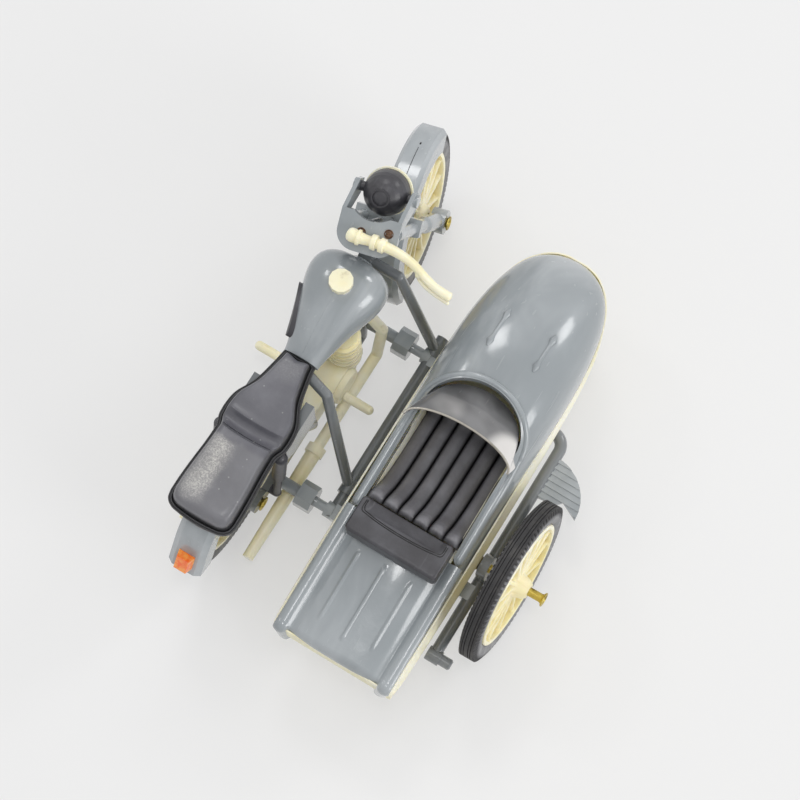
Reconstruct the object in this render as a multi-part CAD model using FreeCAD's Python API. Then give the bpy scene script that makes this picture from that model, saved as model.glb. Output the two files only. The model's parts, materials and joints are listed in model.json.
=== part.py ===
"""Toy motorcycle with a sidecar on its right, in millimetres.

+X is the rider's right, +Y is forwards and +Z is up.
The drawing origin is on the floor under the rear axle, in the motorcycle's middle plane.
At the end every piece is moved so that the origin is the middle of the toy's footprint.
"""
import FreeCAD, Part
import math
import os

V = FreeCAD.Vector

# shares and turns
half_share = 0.5
quarter_share = 0.25
quarter_turn_deg = 90.0
full_turn_deg = 360.0

# play between pieces
seat_gap = 0.05
slip_gap = 0.15
cut_overrun = 2.0
far_away = 400.0

# wheels
wheelbase = 82.0
wheel_radius = 21.2
tyre_width = 5.0
tyre_depth = 4.7
rim_half_width = 2.0
rim_wall = 1.4
web_half_width = 0.7
spoke_pairs = 9
spoke_width = 0.9
spoke_proud = 1.3
spoke_splay_share = 0.2
hub_radius = 3.2
hub_half_width = 3.6
pin_radius = 1.1
pin_head_radius = 1.9
pin_head_thickness = 0.9

# sidecar wheel and its pin
side_wheel_track = 68.0
side_wheel_lead = 14.8
side_wheel_lean_deg = 5.0
side_hub_half_width = 5.0
side_pin_out = 9.3
side_pin_in = 9.15

# mudguards
guard_gap = 1.3
guard_wall = 0.6
guard_chamfer = 1.1
guard_skirt = 4.6
front_guard_half_width = 3.8
front_guard_flat_share = 0.72
guard_lug_radius = 1.0
front_guard_front_deg = 38.0
front_guard_back_deg = 196.0
rear_guard_half_width = 4.5
rear_guard_flat_share = 0.66
rear_guard_front_deg = 24.0
rear_guard_back_deg = 152.0
rear_tail_length = 8.2

# steering
rake_deg = 27.0
steer_reach = 20.0
steer_rise = 38.8
rest_steer_deg = 13.5
front_pin_half_length = 9.4
leg_x = 6.2
leg_radius = 1.6
slider_radius = 2.1
slider_length = 15.0
leg_inner_gap = 0.6
axle_eye_radius = 3.1
axle_eye_lip = 0.2
stem_radius = 1.2
stem_bore_gap = 0.25
yoke_clearance = 2.4
yoke_thickness = 2.2
yoke_rear_half_width = 2.8
yoke_rear_reach = 2.4
yoke_fore_reach = 2.6
crown_thickness = 1.6
crown_half_width = 7.4
crown_rear_reach = 6.0
crown_fore_reach = 3.4
crown_corner = 4.6
crown_scoop_radius = 7.0
crown_scoop_bite = 1.6
ear_thickness = 1.0
ear_width = 3.6
ear_drop = 7.2
ear_fore = 8.1
ear_boss_radius = 1.6
ear_boss_height = 0.6

# headlamp, hung nose down between the ears
lamp_pitch_deg = 52.0
lamp_shell_radius = 5.5
lamp_barrel_length = 1.6
lamp_rim_radius = 5.9
lamp_rim_length = 1.5
lamp_glass_radius = 5.0
lamp_glass_bulge = 0.8
lamp_mark_radius = 1.9
lamp_mark_width = 0.35
lamp_mark_height = 0.25
lamp_lug_radius = 1.2

# handlebar, its left half broken off
bar_radius = 1.15
bar_fore = -2.4
bar_lift = 1.6
bar_boss_radius = 1.9
bar_boss_length = 3.0
bar_clamp_x = 3.5
bar_stub_x = 3.6
bar_bend_x = 8.6
bar_pivot_x = 16.6
bar_pivot_back = 3.4
bar_end_x = 24.2
bar_end_back = 8.2
bar_end_rise = 0.6
grip_radius = 1.45
lever_radius = 0.55
lever_drop = 1.0
lever_short = 1.4
lever_back = 1.9
lever_spread = 0.5

# frame
seat_sink = 1.4
rail_radius = 1.3
rail_x = 6.35
rail_rear_share = 0.143
rail_front_share = 0.167
rail_join_share = 0.31
backbone_half_width = 1.6
backbone_height = 3.2
backbone_rise = 1.0
head_radius = 2.0
head_gap = 0.3
gusset_rise = 7.0
cradle_x = 3.2
cradle_radius = 1.5
cradle_ground = 9.0
cradle_front_share = 0.095
cross_front_lead = 2.6
cradle_rear_gap = 2.8
cradle_hip_back = 2.0
cradle_hip_rise = 9.6
arm_thickness = 1.8
arm_gap = 1.3
arm_height = 2.8
arm_length_share = 0.29
eye_radius = 3.1

# rear shocks
shock_rod_radius = 1.0
shock_coil_radius = 1.7
shock_stand_off = 0.6
shock_low_lead = 4.4
shock_low_drop = 1.4
shock_high_lead = 8.0
shock_high_drop = 0.9
shock_eye_radius = 1.2

# tool boxes under the saddle's nose
toolbox_width = 2.3
toolbox_length = 12.6
toolbox_height = 11.6
toolbox_slope = 3.0
toolbox_front_gap = 2.6

# fuel tank
tank_head_gap = 3.6
tank_rear_share = 0.37
tank_sink = 1.0
tank_height = 12.2
tank_half_width = 10.4
tank_station_shares = [0.0, 0.1, 0.27, 0.48, 0.7, 0.85, 0.95, 1.0]
tank_width_shares = [0.45, 0.5, 0.62, 0.8, 0.97, 0.92, 0.64, 0.28]
tank_height_shares = [0.3, 0.46, 0.7, 0.9, 1.0, 0.94, 0.7, 0.42]
tank_waist_share = 0.34
tank_low_round_share = 0.8
tank_high_round_share = 0.62
cap_radius = 2.95
cap_height = 1.5
cap_sides = 12
cap_place_share = 0.66
pad_thickness = 0.9
pad_front_share = 0.56
pad_rear_share = 0.1
pad_low_share = 0.08
pad_high_share = 0.5

# saddle
saddle_rear_y = -14.5
saddle_step_y = 9.3
saddle_nose_gap = 0.1
saddle_flange = 1.2
saddle_lip = 0.8
saddle_half_width = 8.8
saddle_rear_height = 6.4
saddle_front_height = 4.2
saddle_rear_length_shares = [0.0, 0.1, 0.35, 0.7, 1.0]
saddle_rear_width_shares = [0.84, 0.95, 0.97, 0.98, 1.03]
saddle_rear_height_shares = [0.62, 0.78, 0.88, 0.95, 1.0]
saddle_front_length_shares = [0.0, 0.25, 0.5, 0.75, 1.0]
saddle_front_width_shares = [1.0, 0.9, 0.72, 0.54, 0.42]
saddle_front_height_shares = [0.98, 1.0, 0.98, 0.95, 0.8]
saddle_overlap = 2.2
saddle_round_share = 0.78

# tail lamp
tail_lamp_half_width = 2.2
tail_lamp_length = 4.6
tail_lamp_height = 2.2
tail_lamp_place_share = 0.45

# engine
engine_drop = 4.2
crank_place_share = 0.15
barrel_place_share = 0.1076
engine_tyre_gap = 1.5
crank_radius = 7.0
crank_half_width = 7.4
gear_radius = 5.4
gear_half_width = 6.2
cover_radius = 4.6
cover_height = 1.4
barrel_x = 4.4
barrel_radius = 3.5
fin_radius = 4.3
fin_count = 6
fin_share = 0.45
barrel_deck_rise = 5.2
barrel_top_gap = 3.0

# exhausts
pipe_radius = 1.45
pipe_x = 9.2
pipe_drop = 11.8
pipe_front_share = 0.104
pipe_port_drop_share = 0.55
pipe_knee_share = 0.35
muffler_front_y = 20.0
muffler_rear_y = -11.5
muffler_radius = 2.0
muffler_end_radius = 1.4
muffler_fall = 0.8
joint_radius = 2.4
joint_length = 2.4

# foot rests
peg_radius = 1.2
peg_length = 8.2
peg_rise = -2.6
peg_back = 1.6

# sidecar chassis
chassis_drop = 7.8
chassis_tube_radius = 1.55
left_tube_x = 21.8
left_tube_rear_y = 6.6
left_tube_front_y = 60.0
right_tube_inset = 7.0
right_tube_rear_y = -9.0
right_tube_front_y = 53.6
right_tube_return = 4.2
bend_radius = 3.6
stub_boss_radius = 1.85
stub_boss_length = 3.6
stub_pin_radius = 1.4
stub_pin_length = 3.0
bar_depth = 4.0
bar_height = 2.6
cross_rear_y = 8.4
cross_inner_x = 3.4
cross_thick_radius = 1.6
cross_thin_radius = 1.25
collar_x = 14.3
collar_across = 6.6
collar_length = 4.4
collar_cut = 1.5
collar_step = 0.6
axle_block_width = 2.4
axle_block_depth = 6.0
strut_radius = 1.35
front_strut_top_back = 1.4
front_strut_knee_x = 8.8
front_strut_foot_y = 56.4
rear_strut_top_y = 29.6
rear_strut_knee_x = 8.8
rear_strut_knee_back = 2.1
rear_strut_knee_drop = 3.3
rear_strut_foot_y = 15.6
foot_boss_radius = 2.1

# step plate with its broken rear edge
step_reach = 12.0
step_length = 11.4
step_thickness = 1.1
step_wheel_gap = 1.2
step_rib_count = 7
step_rib_height = 0.35
step_rib_share = 0.45
step_break_shares = [(0.62, 0.80), (0.50, 0.93), (0.0, 1.0)]

# sidecar body
hull_left_gap = 2.0
hull_right_gap = 1.1
hull_clearance = 0.05
hull_wall = 1.1
hull_sink = 2.2
hull_waist_share = 0.42
hull_rear_y = -24.3
hull_front_y = 90.6
hull_height = 28.6
hull_split_share = 0.42
hull_station_shares = [0.0, 0.12, 0.3, 0.5, 0.66, 0.76, 0.84, 0.895, 0.94, 0.972, 0.99, 1.0]
hull_width_shares = [0.985, 0.995, 1.0, 1.0, 1.0, 0.985, 0.93, 0.845, 0.72, 0.55, 0.38, 0.2]
hull_top_shares = [0.62, 0.68, 0.8, 0.92, 1.0, 0.965, 0.88, 0.79, 0.68, 0.56, 0.47, 0.4]
hull_belly_shares = [0.0, 0.0, 0.0, 0.0, 0.0, 0.0, 0.02, 0.05, 0.1, 0.16, 0.21, 0.25]
hull_low_round_share = 0.84
hull_high_round_share = 0.74
tail_hollow = 1.7
hull_arm_width = 3.85
cockpit_foot_y = 38.4
cockpit_apex_y = 48.0
arm_end_y = 8.8
arch_round_share = 0.5523
deck_drop = 1.0
deck_inset = 0.5
deck_recess = 1.5
deck_rail_width = 3.6
deck_rail_steps = 4
deck_rib_radius = 0.55
deck_rib_spread = 7.2
deck_rib_rear_y = -19.0
deck_rib_front_y = 0.0
liner_wall = 0.6
liner_drop = 0.8
lip_height = 1.3
lip_width = 1.5
lip_run = 3.0

# grab handles on the nose
handle_x = 6.3
handle_rear_y = 56.4
handle_length = 11.0
handle_radius = 0.55
handle_tip_radius = 0.95
handle_tip_share = 0.28

# sidecar seat
cushion_side_gap = 0.75
cushion_front_y = 45.0
cushion_bend_y = 16.5
cushion_top_y = 11.2
cushion_rise = 10.5
cushion_bend_rise = 12.0
cushion_top_share = 0.748
cushion_thickness = 3.4
channel_count = 7
channel_bulge = 0.8

# back pad
rest_rear_y = 1.6
rest_front_y = 10.9
rest_low_share = 0.713
rest_high_share = 0.937
rest_chamfer = 1.4

# windscreen
screen_wall = 0.6
screen_low_back = 0.5
screen_low_share = 0.874
screen_height = 7.0
screen_lean = 13.0
screen_high_width_share = 1.26
screen_high_depth_share = 0.42

# places that follow from the sizes above
axle_z = wheel_radius
rim_radius = wheel_radius - tyre_depth
guard_inner_radius = wheel_radius + guard_gap
guard_outer_radius = guard_inner_radius + guard_wall
seat_z = axle_z + guard_outer_radius - seat_sink
rail_z = seat_z - rail_radius + rail_radius * quarter_share
backbone_top_z = seat_z + backbone_rise
tank_base_z = seat_z - tank_sink
tank_rear_y = wheelbase * tank_rear_share
steer_y = wheelbase - steer_reach
steer_z = axle_z + steer_rise
tank_front_y = steer_y - tank_head_gap
rear_clear_y = wheel_radius + engine_tyre_gap
chassis_z = axle_z - chassis_drop
bar_top_z = chassis_z + chassis_tube_radius
hull_low_z = bar_top_z + hull_clearance
hull_split_z = hull_low_z + hull_height * hull_split_share
right_tube_x = side_wheel_track - right_tube_inset
hull_side_low_x = left_tube_x + chassis_tube_radius + hull_left_gap
hull_side_high_x = right_tube_x - chassis_tube_radius - hull_right_gap
hull_half_width = (hull_side_high_x - hull_side_low_x) * half_share
hull_x = hull_side_low_x + hull_half_width
cockpit_half_width = hull_half_width - hull_arm_width
cushion_half_width = cockpit_half_width - cushion_side_gap
hull_length = hull_front_y - hull_rear_y
side_wheel_x = side_wheel_track
side_wheel_y = side_wheel_lead
side_lean_sin = math.sin(math.radians(side_wheel_lean_deg))
side_lean_cos = math.cos(math.radians(side_wheel_lean_deg))
side_axle_z = wheel_radius * side_lean_cos + tyre_width * half_share * side_lean_sin
stub_pin_start_x = right_tube_x + stub_boss_length * half_share
stub_pin_end_x = stub_pin_start_x + stub_pin_length
rake_sin = math.sin(math.radians(rake_deg))
rake_cos = math.cos(math.radians(rake_deg))
axle_fore = steer_reach * rake_cos - steer_rise * rake_sin
axle_up = -steer_reach * rake_sin - steer_rise * rake_cos
yoke_low = axle_up + guard_outer_radius + yoke_clearance
yoke_high = yoke_low + yoke_thickness
leg_inner_x = leg_x - slider_radius + leg_inner_gap
crown_side_x = crown_half_width - ear_thickness * half_share
engine_z = axle_z - engine_drop
gear_y = rear_clear_y + gear_radius
engine_room = wheelbase - gear_y
crank_y = gear_y + engine_room * crank_place_share
barrel_y = crank_y + engine_room * barrel_place_share
pipe_front_y = barrel_y + fin_radius + engine_room * pipe_front_share
cradle_front_y = barrel_y + fin_radius + engine_room * cradle_front_share
cross_front_y = cradle_front_y + cross_front_lead
peg_y = crank_y - peg_back
peg_z = engine_z + peg_rise


# shape helpers
def mirrored(shape):
    """A copy of a shape mirrored across the motorcycle's middle plane."""
    return shape.mirror(V(0, 0, 0), V(1, 0, 0))


def fused(shapes):
    """One clean solid made of touching shapes."""
    first = shapes[0]
    whole = first.fuse(shapes[1:]) if len(shapes) > 1 else first
    return whole.removeSplitter()


def box(x0, x1, y0, y1, z0, z1):
    """A block between two corners."""
    return Part.makeBox(x1 - x0, y1 - y0, z1 - z0, V(x0, y0, z0))


def rod(start, end, radius):
    """A round bar between two points."""
    a = V(*start)
    b = V(*end)
    return Part.makeCylinder(radius, (b - a).Length, a, b - a)


def cone(start, end, radius_start, radius_end):
    """A tapered round bar between two points."""
    a = V(*start)
    b = V(*end)
    return Part.makeCone(radius_start, radius_end, (b - a).Length, a, b - a)


def ball(centre, radius):
    """A sphere."""
    return Part.makeSphere(radius, V(*centre))


def tube_path(points, radius):
    """A round bar through several points with ball corners."""
    parts = []
    for a, b in zip(points[:-1], points[1:]):
        parts.append(rod(a, b, radius))
    for p in points[1:-1]:
        parts.append(ball(p, radius))
    return fused(parts)


def bent_tube(points, radius, bend):
    """A round bar swept along straight runs joined by true arcs."""
    pts = [V(*p) for p in points]
    edges = []
    start = pts[0]
    for i in range(1, len(pts) - 1):
        back = (pts[i - 1] - pts[i]).normalize()
        ahead = (pts[i + 1] - pts[i]).normalize()
        angle = back.getAngle(ahead)
        reach = bend / math.tan(angle * half_share)
        a = pts[i] + back * reach
        b = pts[i] + ahead * reach
        middle = (back + ahead).normalize()
        centre = pts[i] + middle * (bend / math.sin(angle * half_share))
        top = centre - middle * bend
        edges.append(Part.LineSegment(start, a).toShape())
        edges.append(Part.Arc(a, top, b).toShape())
        start = b
    edges.append(Part.LineSegment(start, pts[-1]).toShape())
    spine = Part.Wire(edges)
    ring = Part.Wire([Part.makeCircle(radius, pts[0], pts[1] - pts[0])])
    return spine.makePipeShell([ring], True, True)


def polygon_face(points):
    """A flat face through corner points."""
    corners = [V(*p) for p in points]
    return Part.Face(Part.makePolygon(corners + corners[:1]))


def turned(profile, point, heading):
    """A solid turned about a line from (radius, distance) corners."""
    face = polygon_face([(r, d, 0.0) for r, d in profile])
    solid = face.revolve(V(0, 0, 0), V(0, 1, 0), full_turn_deg)
    solid.Placement = FreeCAD.Placement(V(*point), FreeCAD.Rotation(V(0, 1, 0), V(*heading)))
    return solid


def rounded_section(x0, y, half, low, waist, high, low_share, high_share):
    """A closed cross section of four smooth quarters standing at one y.

    A share of 0.55 gives an ellipse and a share near 1 gives a square corner.
    """
    def quarter(side, end, share):
        a = V(x0 + side * half, y, waist)
        b = V(x0 + side * half, y, waist + share * (end - waist))
        c = V(x0 + side * half * share, y, end)
        d = V(x0, y, end)
        curve = Part.BezierCurve()
        curve.setPoles([a, b, c, d])
        return curve.toShape()

    edges = [quarter(1.0, high, high_share), quarter(-1.0, high, high_share),
             quarter(-1.0, low, low_share), quarter(1.0, low, low_share)]
    return Part.Wire(Part.__sortEdges__(edges))


def mix(a, b, share):
    """The value a share of the way from a to b."""
    return a + (b - a) * share


# wheels
def tyre(centre):
    """A square shouldered tyre with a flat seat for its rim."""
    half = tyre_width * half_share
    profile = [
        (rim_radius, -rim_half_width),
        (wheel_radius, -half),
        (wheel_radius, half),
        (rim_radius, rim_half_width),
    ]
    return turned(profile, centre, (1, 0, 0))


def rim(centre, hub_half):
    """A dished rim with paired raised spokes, moulded in one with its hub."""
    inner = rim_radius - rim_wall
    profile = [
        (pin_radius + slip_gap, -hub_half),
        (hub_radius, -hub_half),
        (hub_radius, -web_half_width),
        (inner, -web_half_width),
        (inner, -rim_half_width),
        (rim_radius, -rim_half_width),
        (rim_radius, rim_half_width),
        (inner, rim_half_width),
        (inner, web_half_width),
        (hub_radius, web_half_width),
        (hub_radius, hub_half),
        (pin_radius + slip_gap, hub_half),
    ]
    body = turned(profile, centre, (1, 0, 0))
    x0, y0, z0 = centre
    half = spoke_width * half_share
    reach = web_half_width + spoke_proud
    rise = inner + rim_wall * half_share
    root = hub_radius * (1.0 - quarter_share * half_share)
    lean = rise * spoke_splay_share
    spokes = []
    for i in range(spoke_pairs):
        for side in (-1.0, 1.0):
            foot = side * half
            head = side * (lean + half)
            corners = [(x0 - reach, y0 + foot - half, z0 + root), (x0 - reach, y0 + foot + half, z0 + root),
                       (x0 - reach, y0 + head + half, z0 + rise), (x0 - reach, y0 + head - half, z0 + rise)]
            spoke = polygon_face(corners).extrude(V(reach + reach, 0, 0))
            spoke.rotate(V(x0, y0, z0), V(1, 0, 0), full_turn_deg * i / spoke_pairs)
            spokes.append(spoke)
    return fused([body] + spokes)


def rivet_pin(y, z, x_low, x_high, low_head):
    """A brass pin with a rolled head at its outer end, or at both ends."""
    t = pin_head_thickness
    r = pin_radius
    h = pin_head_radius
    edge = mix(r, h, half_share)
    profile = [(0.0, x_low)]
    if low_head:
        profile += [(edge, x_low), (h, x_low + t * half_share), (h, x_low + t), (r, x_low + t)]
    else:
        profile += [(r, x_low)]
    profile += [(r, x_high - t), (h, x_high - t), (h, x_high - t * half_share), (edge, x_high)]
    profile += [(0.0, x_high)]
    return turned(profile, (0.0, y, z), (1, 0, 0))


def guard_section(half_width, flat_share, radius):
    """Corners (radius, x) of a chamfered channel over a wheel, outside first."""
    flat = half_width * flat_share
    rim_low = radius - guard_chamfer - guard_skirt
    shoulder = radius - guard_chamfer
    w = guard_wall
    return [
        (rim_low, -half_width), (shoulder, -half_width), (radius, -flat),
        (radius, flat), (shoulder, half_width), (rim_low, half_width),
        (rim_low, half_width - w), (shoulder - w * half_share, half_width - w),
        (radius - w, flat - w * half_share), (radius - w, -flat + w * half_share),
        (shoulder - w * half_share, -half_width + w), (rim_low, -half_width + w),
    ]


def arched_guard(centre_y, start_deg, end_deg, half_width, flat_share):
    """A mudguard curved round a wheel; zero degrees is ahead and angles grow upwards."""
    section = guard_section(half_width, flat_share, guard_outer_radius)
    face = polygon_face([(x, centre_y + r, axle_z) for r, x in section])
    point = V(0, centre_y, axle_z)
    face.rotate(point, V(1, 0, 0), start_deg)
    return face.revolve(point, V(1, 0, 0), end_deg - start_deg)


def rear_mudguard():
    """The arched rear guard with its flat flared tail."""
    arch = arched_guard(0.0, rear_guard_front_deg, rear_guard_back_deg, rear_guard_half_width,
                        rear_guard_flat_share)
    section = guard_section(rear_guard_half_width, rear_guard_flat_share, guard_outer_radius)
    face = polygon_face([(x, r, axle_z) for r, x in section])
    point = V(0, 0, axle_z)
    face.rotate(point, V(1, 0, 0), rear_guard_back_deg)
    a = math.radians(rear_guard_back_deg)
    along = V(0, -math.sin(a) * rear_tail_length, math.cos(a) * rear_tail_length)
    return fused([arch, face.extrude(along)])


# steering, first drawn straight ahead
def along_leg(x, up):
    """A point on a fork leg's line, measured up from the front axle."""
    return (x, wheelbase - up * rake_sin, axle_z + up * rake_cos)


def front_mudguard():
    """The arched front guard with a round lug on each skirt that meets the fork leg."""
    arch = arched_guard(wheelbase, front_guard_front_deg, front_guard_back_deg, front_guard_half_width,
                        front_guard_flat_share)
    up = guard_outer_radius - guard_chamfer - guard_skirt * half_share
    inner = front_guard_half_width - guard_wall * half_share
    outer = leg_inner_x - slip_gap
    lugs = [rod(along_leg(side * inner, up), along_leg(side * outer, up), guard_lug_radius)
            for side in (-1.0, 1.0)]
    return fused([arch] + lugs)


def tilted(shape):
    """A shape drawn with the pivot at the origin and its axis upright, leaned into place."""
    shape.rotate(V(0, 0, 0), V(1, 0, 0), rake_deg)
    shape.translate(V(0, steer_y, steer_z))
    return shape


def tilted_rod(x, low, high, radius):
    """A round bar along the steering axis, shifted sideways by x."""
    return tilted(rod((x, 0.0, low), (x, 0.0, high), radius))


def fork():
    """Two fork legs with sliders and axle eyes, the lower yoke and the stem."""
    parts = []
    top = -axle_up - seat_gap
    for side in (-1.0, 1.0):
        x = side * leg_x
        leg = rod(along_leg(x, 0.0), along_leg(x, top), leg_radius)
        slider = rod(along_leg(x, 0.0), along_leg(x, slider_length), slider_radius)
        taper = cone(along_leg(x, slider_length), along_leg(x, slider_length + slider_radius),
                     slider_radius, leg_radius)
        reach = slider_radius + axle_eye_lip
        eye = rod((side * (leg_x - reach), wheelbase, axle_z), (side * (leg_x + reach), wheelbase, axle_z),
                  axle_eye_radius)
        one = fused([leg, slider, taper, eye])
        gap = box(-leg_inner_x, leg_inner_x, -far_away, far_away, -far_away, far_away)
        parts.append(one.cut(gap))
    n = yoke_rear_half_width
    w = leg_x + slider_radius
    front = axle_fore + yoke_fore_reach
    side_fore = axle_fore - leg_radius
    corners = [(-n, -yoke_rear_reach, yoke_low), (n, -yoke_rear_reach, yoke_low), (w, side_fore, yoke_low),
               (w, front, yoke_low), (-w, front, yoke_low), (-w, side_fore, yoke_low)]
    parts.append(tilted(polygon_face(corners).extrude(V(0, 0, yoke_thickness))))
    parts.append(tilted_rod(0.0, yoke_low, -seat_gap, stem_radius))
    whole = fused(parts)
    half = leg_x + slider_radius + cut_overrun
    bore = rod((-half, wheelbase, axle_z), (half, wheelbase, axle_z), pin_radius + seat_gap)
    return whole.cut(bore)


def crown():
    """The dished top plate and the two ears that carry the headlamp."""
    w = crown_half_width
    plate = box(-w, w, -crown_rear_reach, crown_fore_reach, 0.0, crown_thickness)
    edges = []
    for edge in plate.Edges:
        upright = edge.BoundBox.ZLength > crown_thickness * half_share
        if upright and edge.CenterOfMass.y < 0.0:
            edges.append(edge)
    plate = plate.makeFillet(crown_corner, edges)
    centre = crown_fore_reach + crown_scoop_radius - crown_scoop_bite
    scoop = rod((0.0, centre, -cut_overrun), (0.0, centre, crown_thickness + cut_overrun), crown_scoop_radius)
    parts = [plate.cut(scoop)]
    half = ear_thickness * half_share
    for side in (-1.0, 1.0):
        x = side * crown_side_x
        corners = [(x - half, crown_fore_reach - ear_width, crown_thickness),
                   (x - half, crown_fore_reach, crown_thickness),
                   (x - half, ear_fore + ear_width * half_share, -ear_drop + ear_width * half_share),
                   (x - half, ear_fore + ear_width * half_share, -ear_drop - ear_width * half_share),
                   (x - half, ear_fore - ear_width * half_share, -ear_drop - ear_width * half_share)]
        ear = polygon_face(corners).extrude(V(ear_thickness, 0, 0))
        boss = rod((x, ear_fore, -ear_drop), (x + side * (half + ear_boss_height), ear_fore, -ear_drop),
                   ear_boss_radius)
        parts += [ear, boss]
    return tilted(fused(parts))


def lamp_point():
    """The middle of the headlamp, between the ears."""
    return (0.0, steer_y + ear_fore * rake_cos + ear_drop * rake_sin,
            steer_z + ear_fore * rake_sin - ear_drop * rake_cos)


def lamp_heading():
    """The way the headlamp looks: ahead and down."""
    a = math.radians(lamp_pitch_deg)
    return (0.0, math.cos(a), -math.sin(a))


def headlamp_shell():
    """The domed black headlamp body with a raised ring on its back and a lug each side."""
    r = lamp_shell_radius
    profile = []
    steps = 7
    for i in range(steps + 1):
        a = math.radians(quarter_turn_deg * i / steps)
        profile.append((r * math.sin(a), -r * math.cos(a)))
    profile += [(r, lamp_barrel_length), (0.0, lamp_barrel_length)]
    dome = turned(profile, lamp_point(), lamp_heading())
    depth = math.sqrt(r * r - lamp_mark_radius * lamp_mark_radius)
    ring = turned([(lamp_mark_radius, -depth - lamp_mark_height), (lamp_mark_radius + lamp_mark_width,
                  -depth - lamp_mark_height), (lamp_mark_radius + lamp_mark_width, -r * half_share),
                  (lamp_mark_radius, -r * half_share)], lamp_point(), lamp_heading())
    x, y, z = lamp_point()
    reach = crown_side_x - ear_thickness * half_share - seat_gap
    lugs = rod((-reach, y, z), (reach, y, z), lamp_lug_radius)
    return fused([dome, ring, lugs])


def headlamp_rim():
    """The cream ring round the glass."""
    d0 = lamp_barrel_length + seat_gap
    d1 = d0 + lamp_rim_length
    mid = mix(d0, d1, half_share)
    lip = mix(lamp_rim_radius, lamp_glass_radius, half_share)
    profile = [(lamp_glass_radius, d0), (lamp_rim_radius, d0), (lamp_rim_radius, mid), (lip, d1),
               (lamp_glass_radius, d1)]
    return turned(profile, lamp_point(), lamp_heading())


def headlamp_glass():
    """The lightly domed glass inside the ring."""
    d0 = lamp_barrel_length + seat_gap
    d1 = d0 + lamp_rim_length * half_share
    r = lamp_glass_radius - seat_gap
    profile = [(0.0, d0), (r, d0), (r, d1), (r * half_share, d1 + lamp_glass_bulge * (1.0 - quarter_share)),
               (0.0, d1 + lamp_glass_bulge)]
    return turned(profile, lamp_point(), lamp_heading())


def handlebar():
    """The right half of the bar with grip and lever, and the broken stub on the left."""
    y = steer_y + bar_fore * rake_cos - (crown_thickness + bar_lift) * rake_sin
    z = steer_z + bar_fore * rake_sin + (crown_thickness + bar_lift) * rake_cos

    def at(x, back, rise):
        return (x, y - back, z + rise)

    bend = at(bar_bend_x, 0.0, 0.0)
    pivot = at(bar_pivot_x, bar_pivot_back, bar_end_rise)
    end = at(bar_end_x, bar_end_back, bar_end_rise)
    parts = [rod(at(-bar_stub_x, 0.0, 0.0), bend, bar_radius), ball(at(-bar_stub_x, 0.0, 0.0), bar_radius)]
    parts += [rod(bend, pivot, bar_radius), ball(bend, bar_radius)]
    parts += [rod(pivot, end, grip_radius), ball(pivot, grip_radius), ball(end, grip_radius)]
    low_pivot = at(bar_pivot_x, bar_pivot_back + lever_back, bar_end_rise - lever_drop)
    low_end = at(bar_end_x - lever_short, bar_end_back + lever_back + lever_spread, bar_end_rise - lever_drop)
    parts += [rod(pivot, low_pivot, lever_radius + seat_gap), ball(low_pivot, lever_radius + seat_gap)]
    parts += [rod(low_pivot, low_end, lever_radius), ball(low_end, lever_radius)]
    half = bar_boss_length * half_share
    for side in (-1.0, 1.0):
        c = side * bar_clamp_x
        parts.append(rod(at(c - half, 0.0, 0.0), at(c + half, 0.0, 0.0), bar_boss_radius))
        parts.append(rod(at(c, 0.0, 0.0), tuple(V(*at(c, 0.0, 0.0)) - V(0, -rake_sin, rake_cos) * bar_lift),
                         bar_radius + seat_gap))
    whole = fused(parts)
    reach = crown_thickness + seat_gap * half_share
    under = tilted(box(-far_away, far_away, -far_away, far_away, -far_away, reach))
    return whole.cut(under)


# motorcycle body
def tank_form(grow, first, last):
    """The tank's teardrop form, grown outwards when asked, from one station to another."""
    rings = []
    length = tank_front_y - tank_rear_y
    for i in range(first, last):
        y = tank_rear_y + length * tank_station_shares[i]
        half = tank_half_width * tank_width_shares[i] + grow
        high = tank_base_z + tank_height * tank_height_shares[i] + grow
        waist = mix(tank_base_z, high, tank_waist_share)
        rings.append(rounded_section(0.0, y, half, tank_base_z, waist, high,
                                     tank_low_round_share, tank_high_round_share))
    return Part.makeLoft(rings, True, False)


def tank_body():
    """A teardrop tank lofted through rounded sections, with a groove for the backbone."""
    body = tank_form(0.0, 0, len(tank_station_shares))
    w = backbone_half_width + seat_gap
    return body.cut(box(-w, w, -far_away, far_away, 0.0, backbone_top_z + seat_gap))


def tank_cap():
    """A many sided filler cap that sits in the tank's top."""
    y = mix(tank_rear_y, tank_front_y, cap_place_share)
    z = tank_base_z + tank_height - cap_height
    corners = []
    for i in range(cap_sides):
        a = math.radians(full_turn_deg * (i + half_share) / cap_sides)
        corners.append((cap_radius * math.cos(a), y + cap_radius * math.sin(a), z))
    return polygon_face(corners).extrude(V(0, 0, cap_height + cap_height))


def knee_pad():
    """A thin pad that follows the tank's left side."""
    outer = tank_form(pad_thickness, 0, len(tank_station_shares))
    length = tank_front_y - tank_rear_y
    y = tank_rear_y + length * (pad_front_share + pad_rear_share) * half_share
    z = tank_base_z + tank_height * (pad_low_share + pad_high_share) * half_share
    ring = Part.Ellipse(V(0, 0, 0), length * (pad_front_share - pad_rear_share) * half_share,
                        tank_height * (pad_high_share - pad_low_share) * half_share)
    face = Part.Face(Part.Wire([ring.toShape()]))
    x = -tank_half_width * quarter_share
    face.Placement = FreeCAD.Placement(V(x, y, z), FreeCAD.Rotation(V(0, 1, 0), V(0, 0, 1), V(1, 0, 0), "ZXY"))
    window = face.extrude(V(-far_away, 0, 0))
    return outer.common(window)


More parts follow.
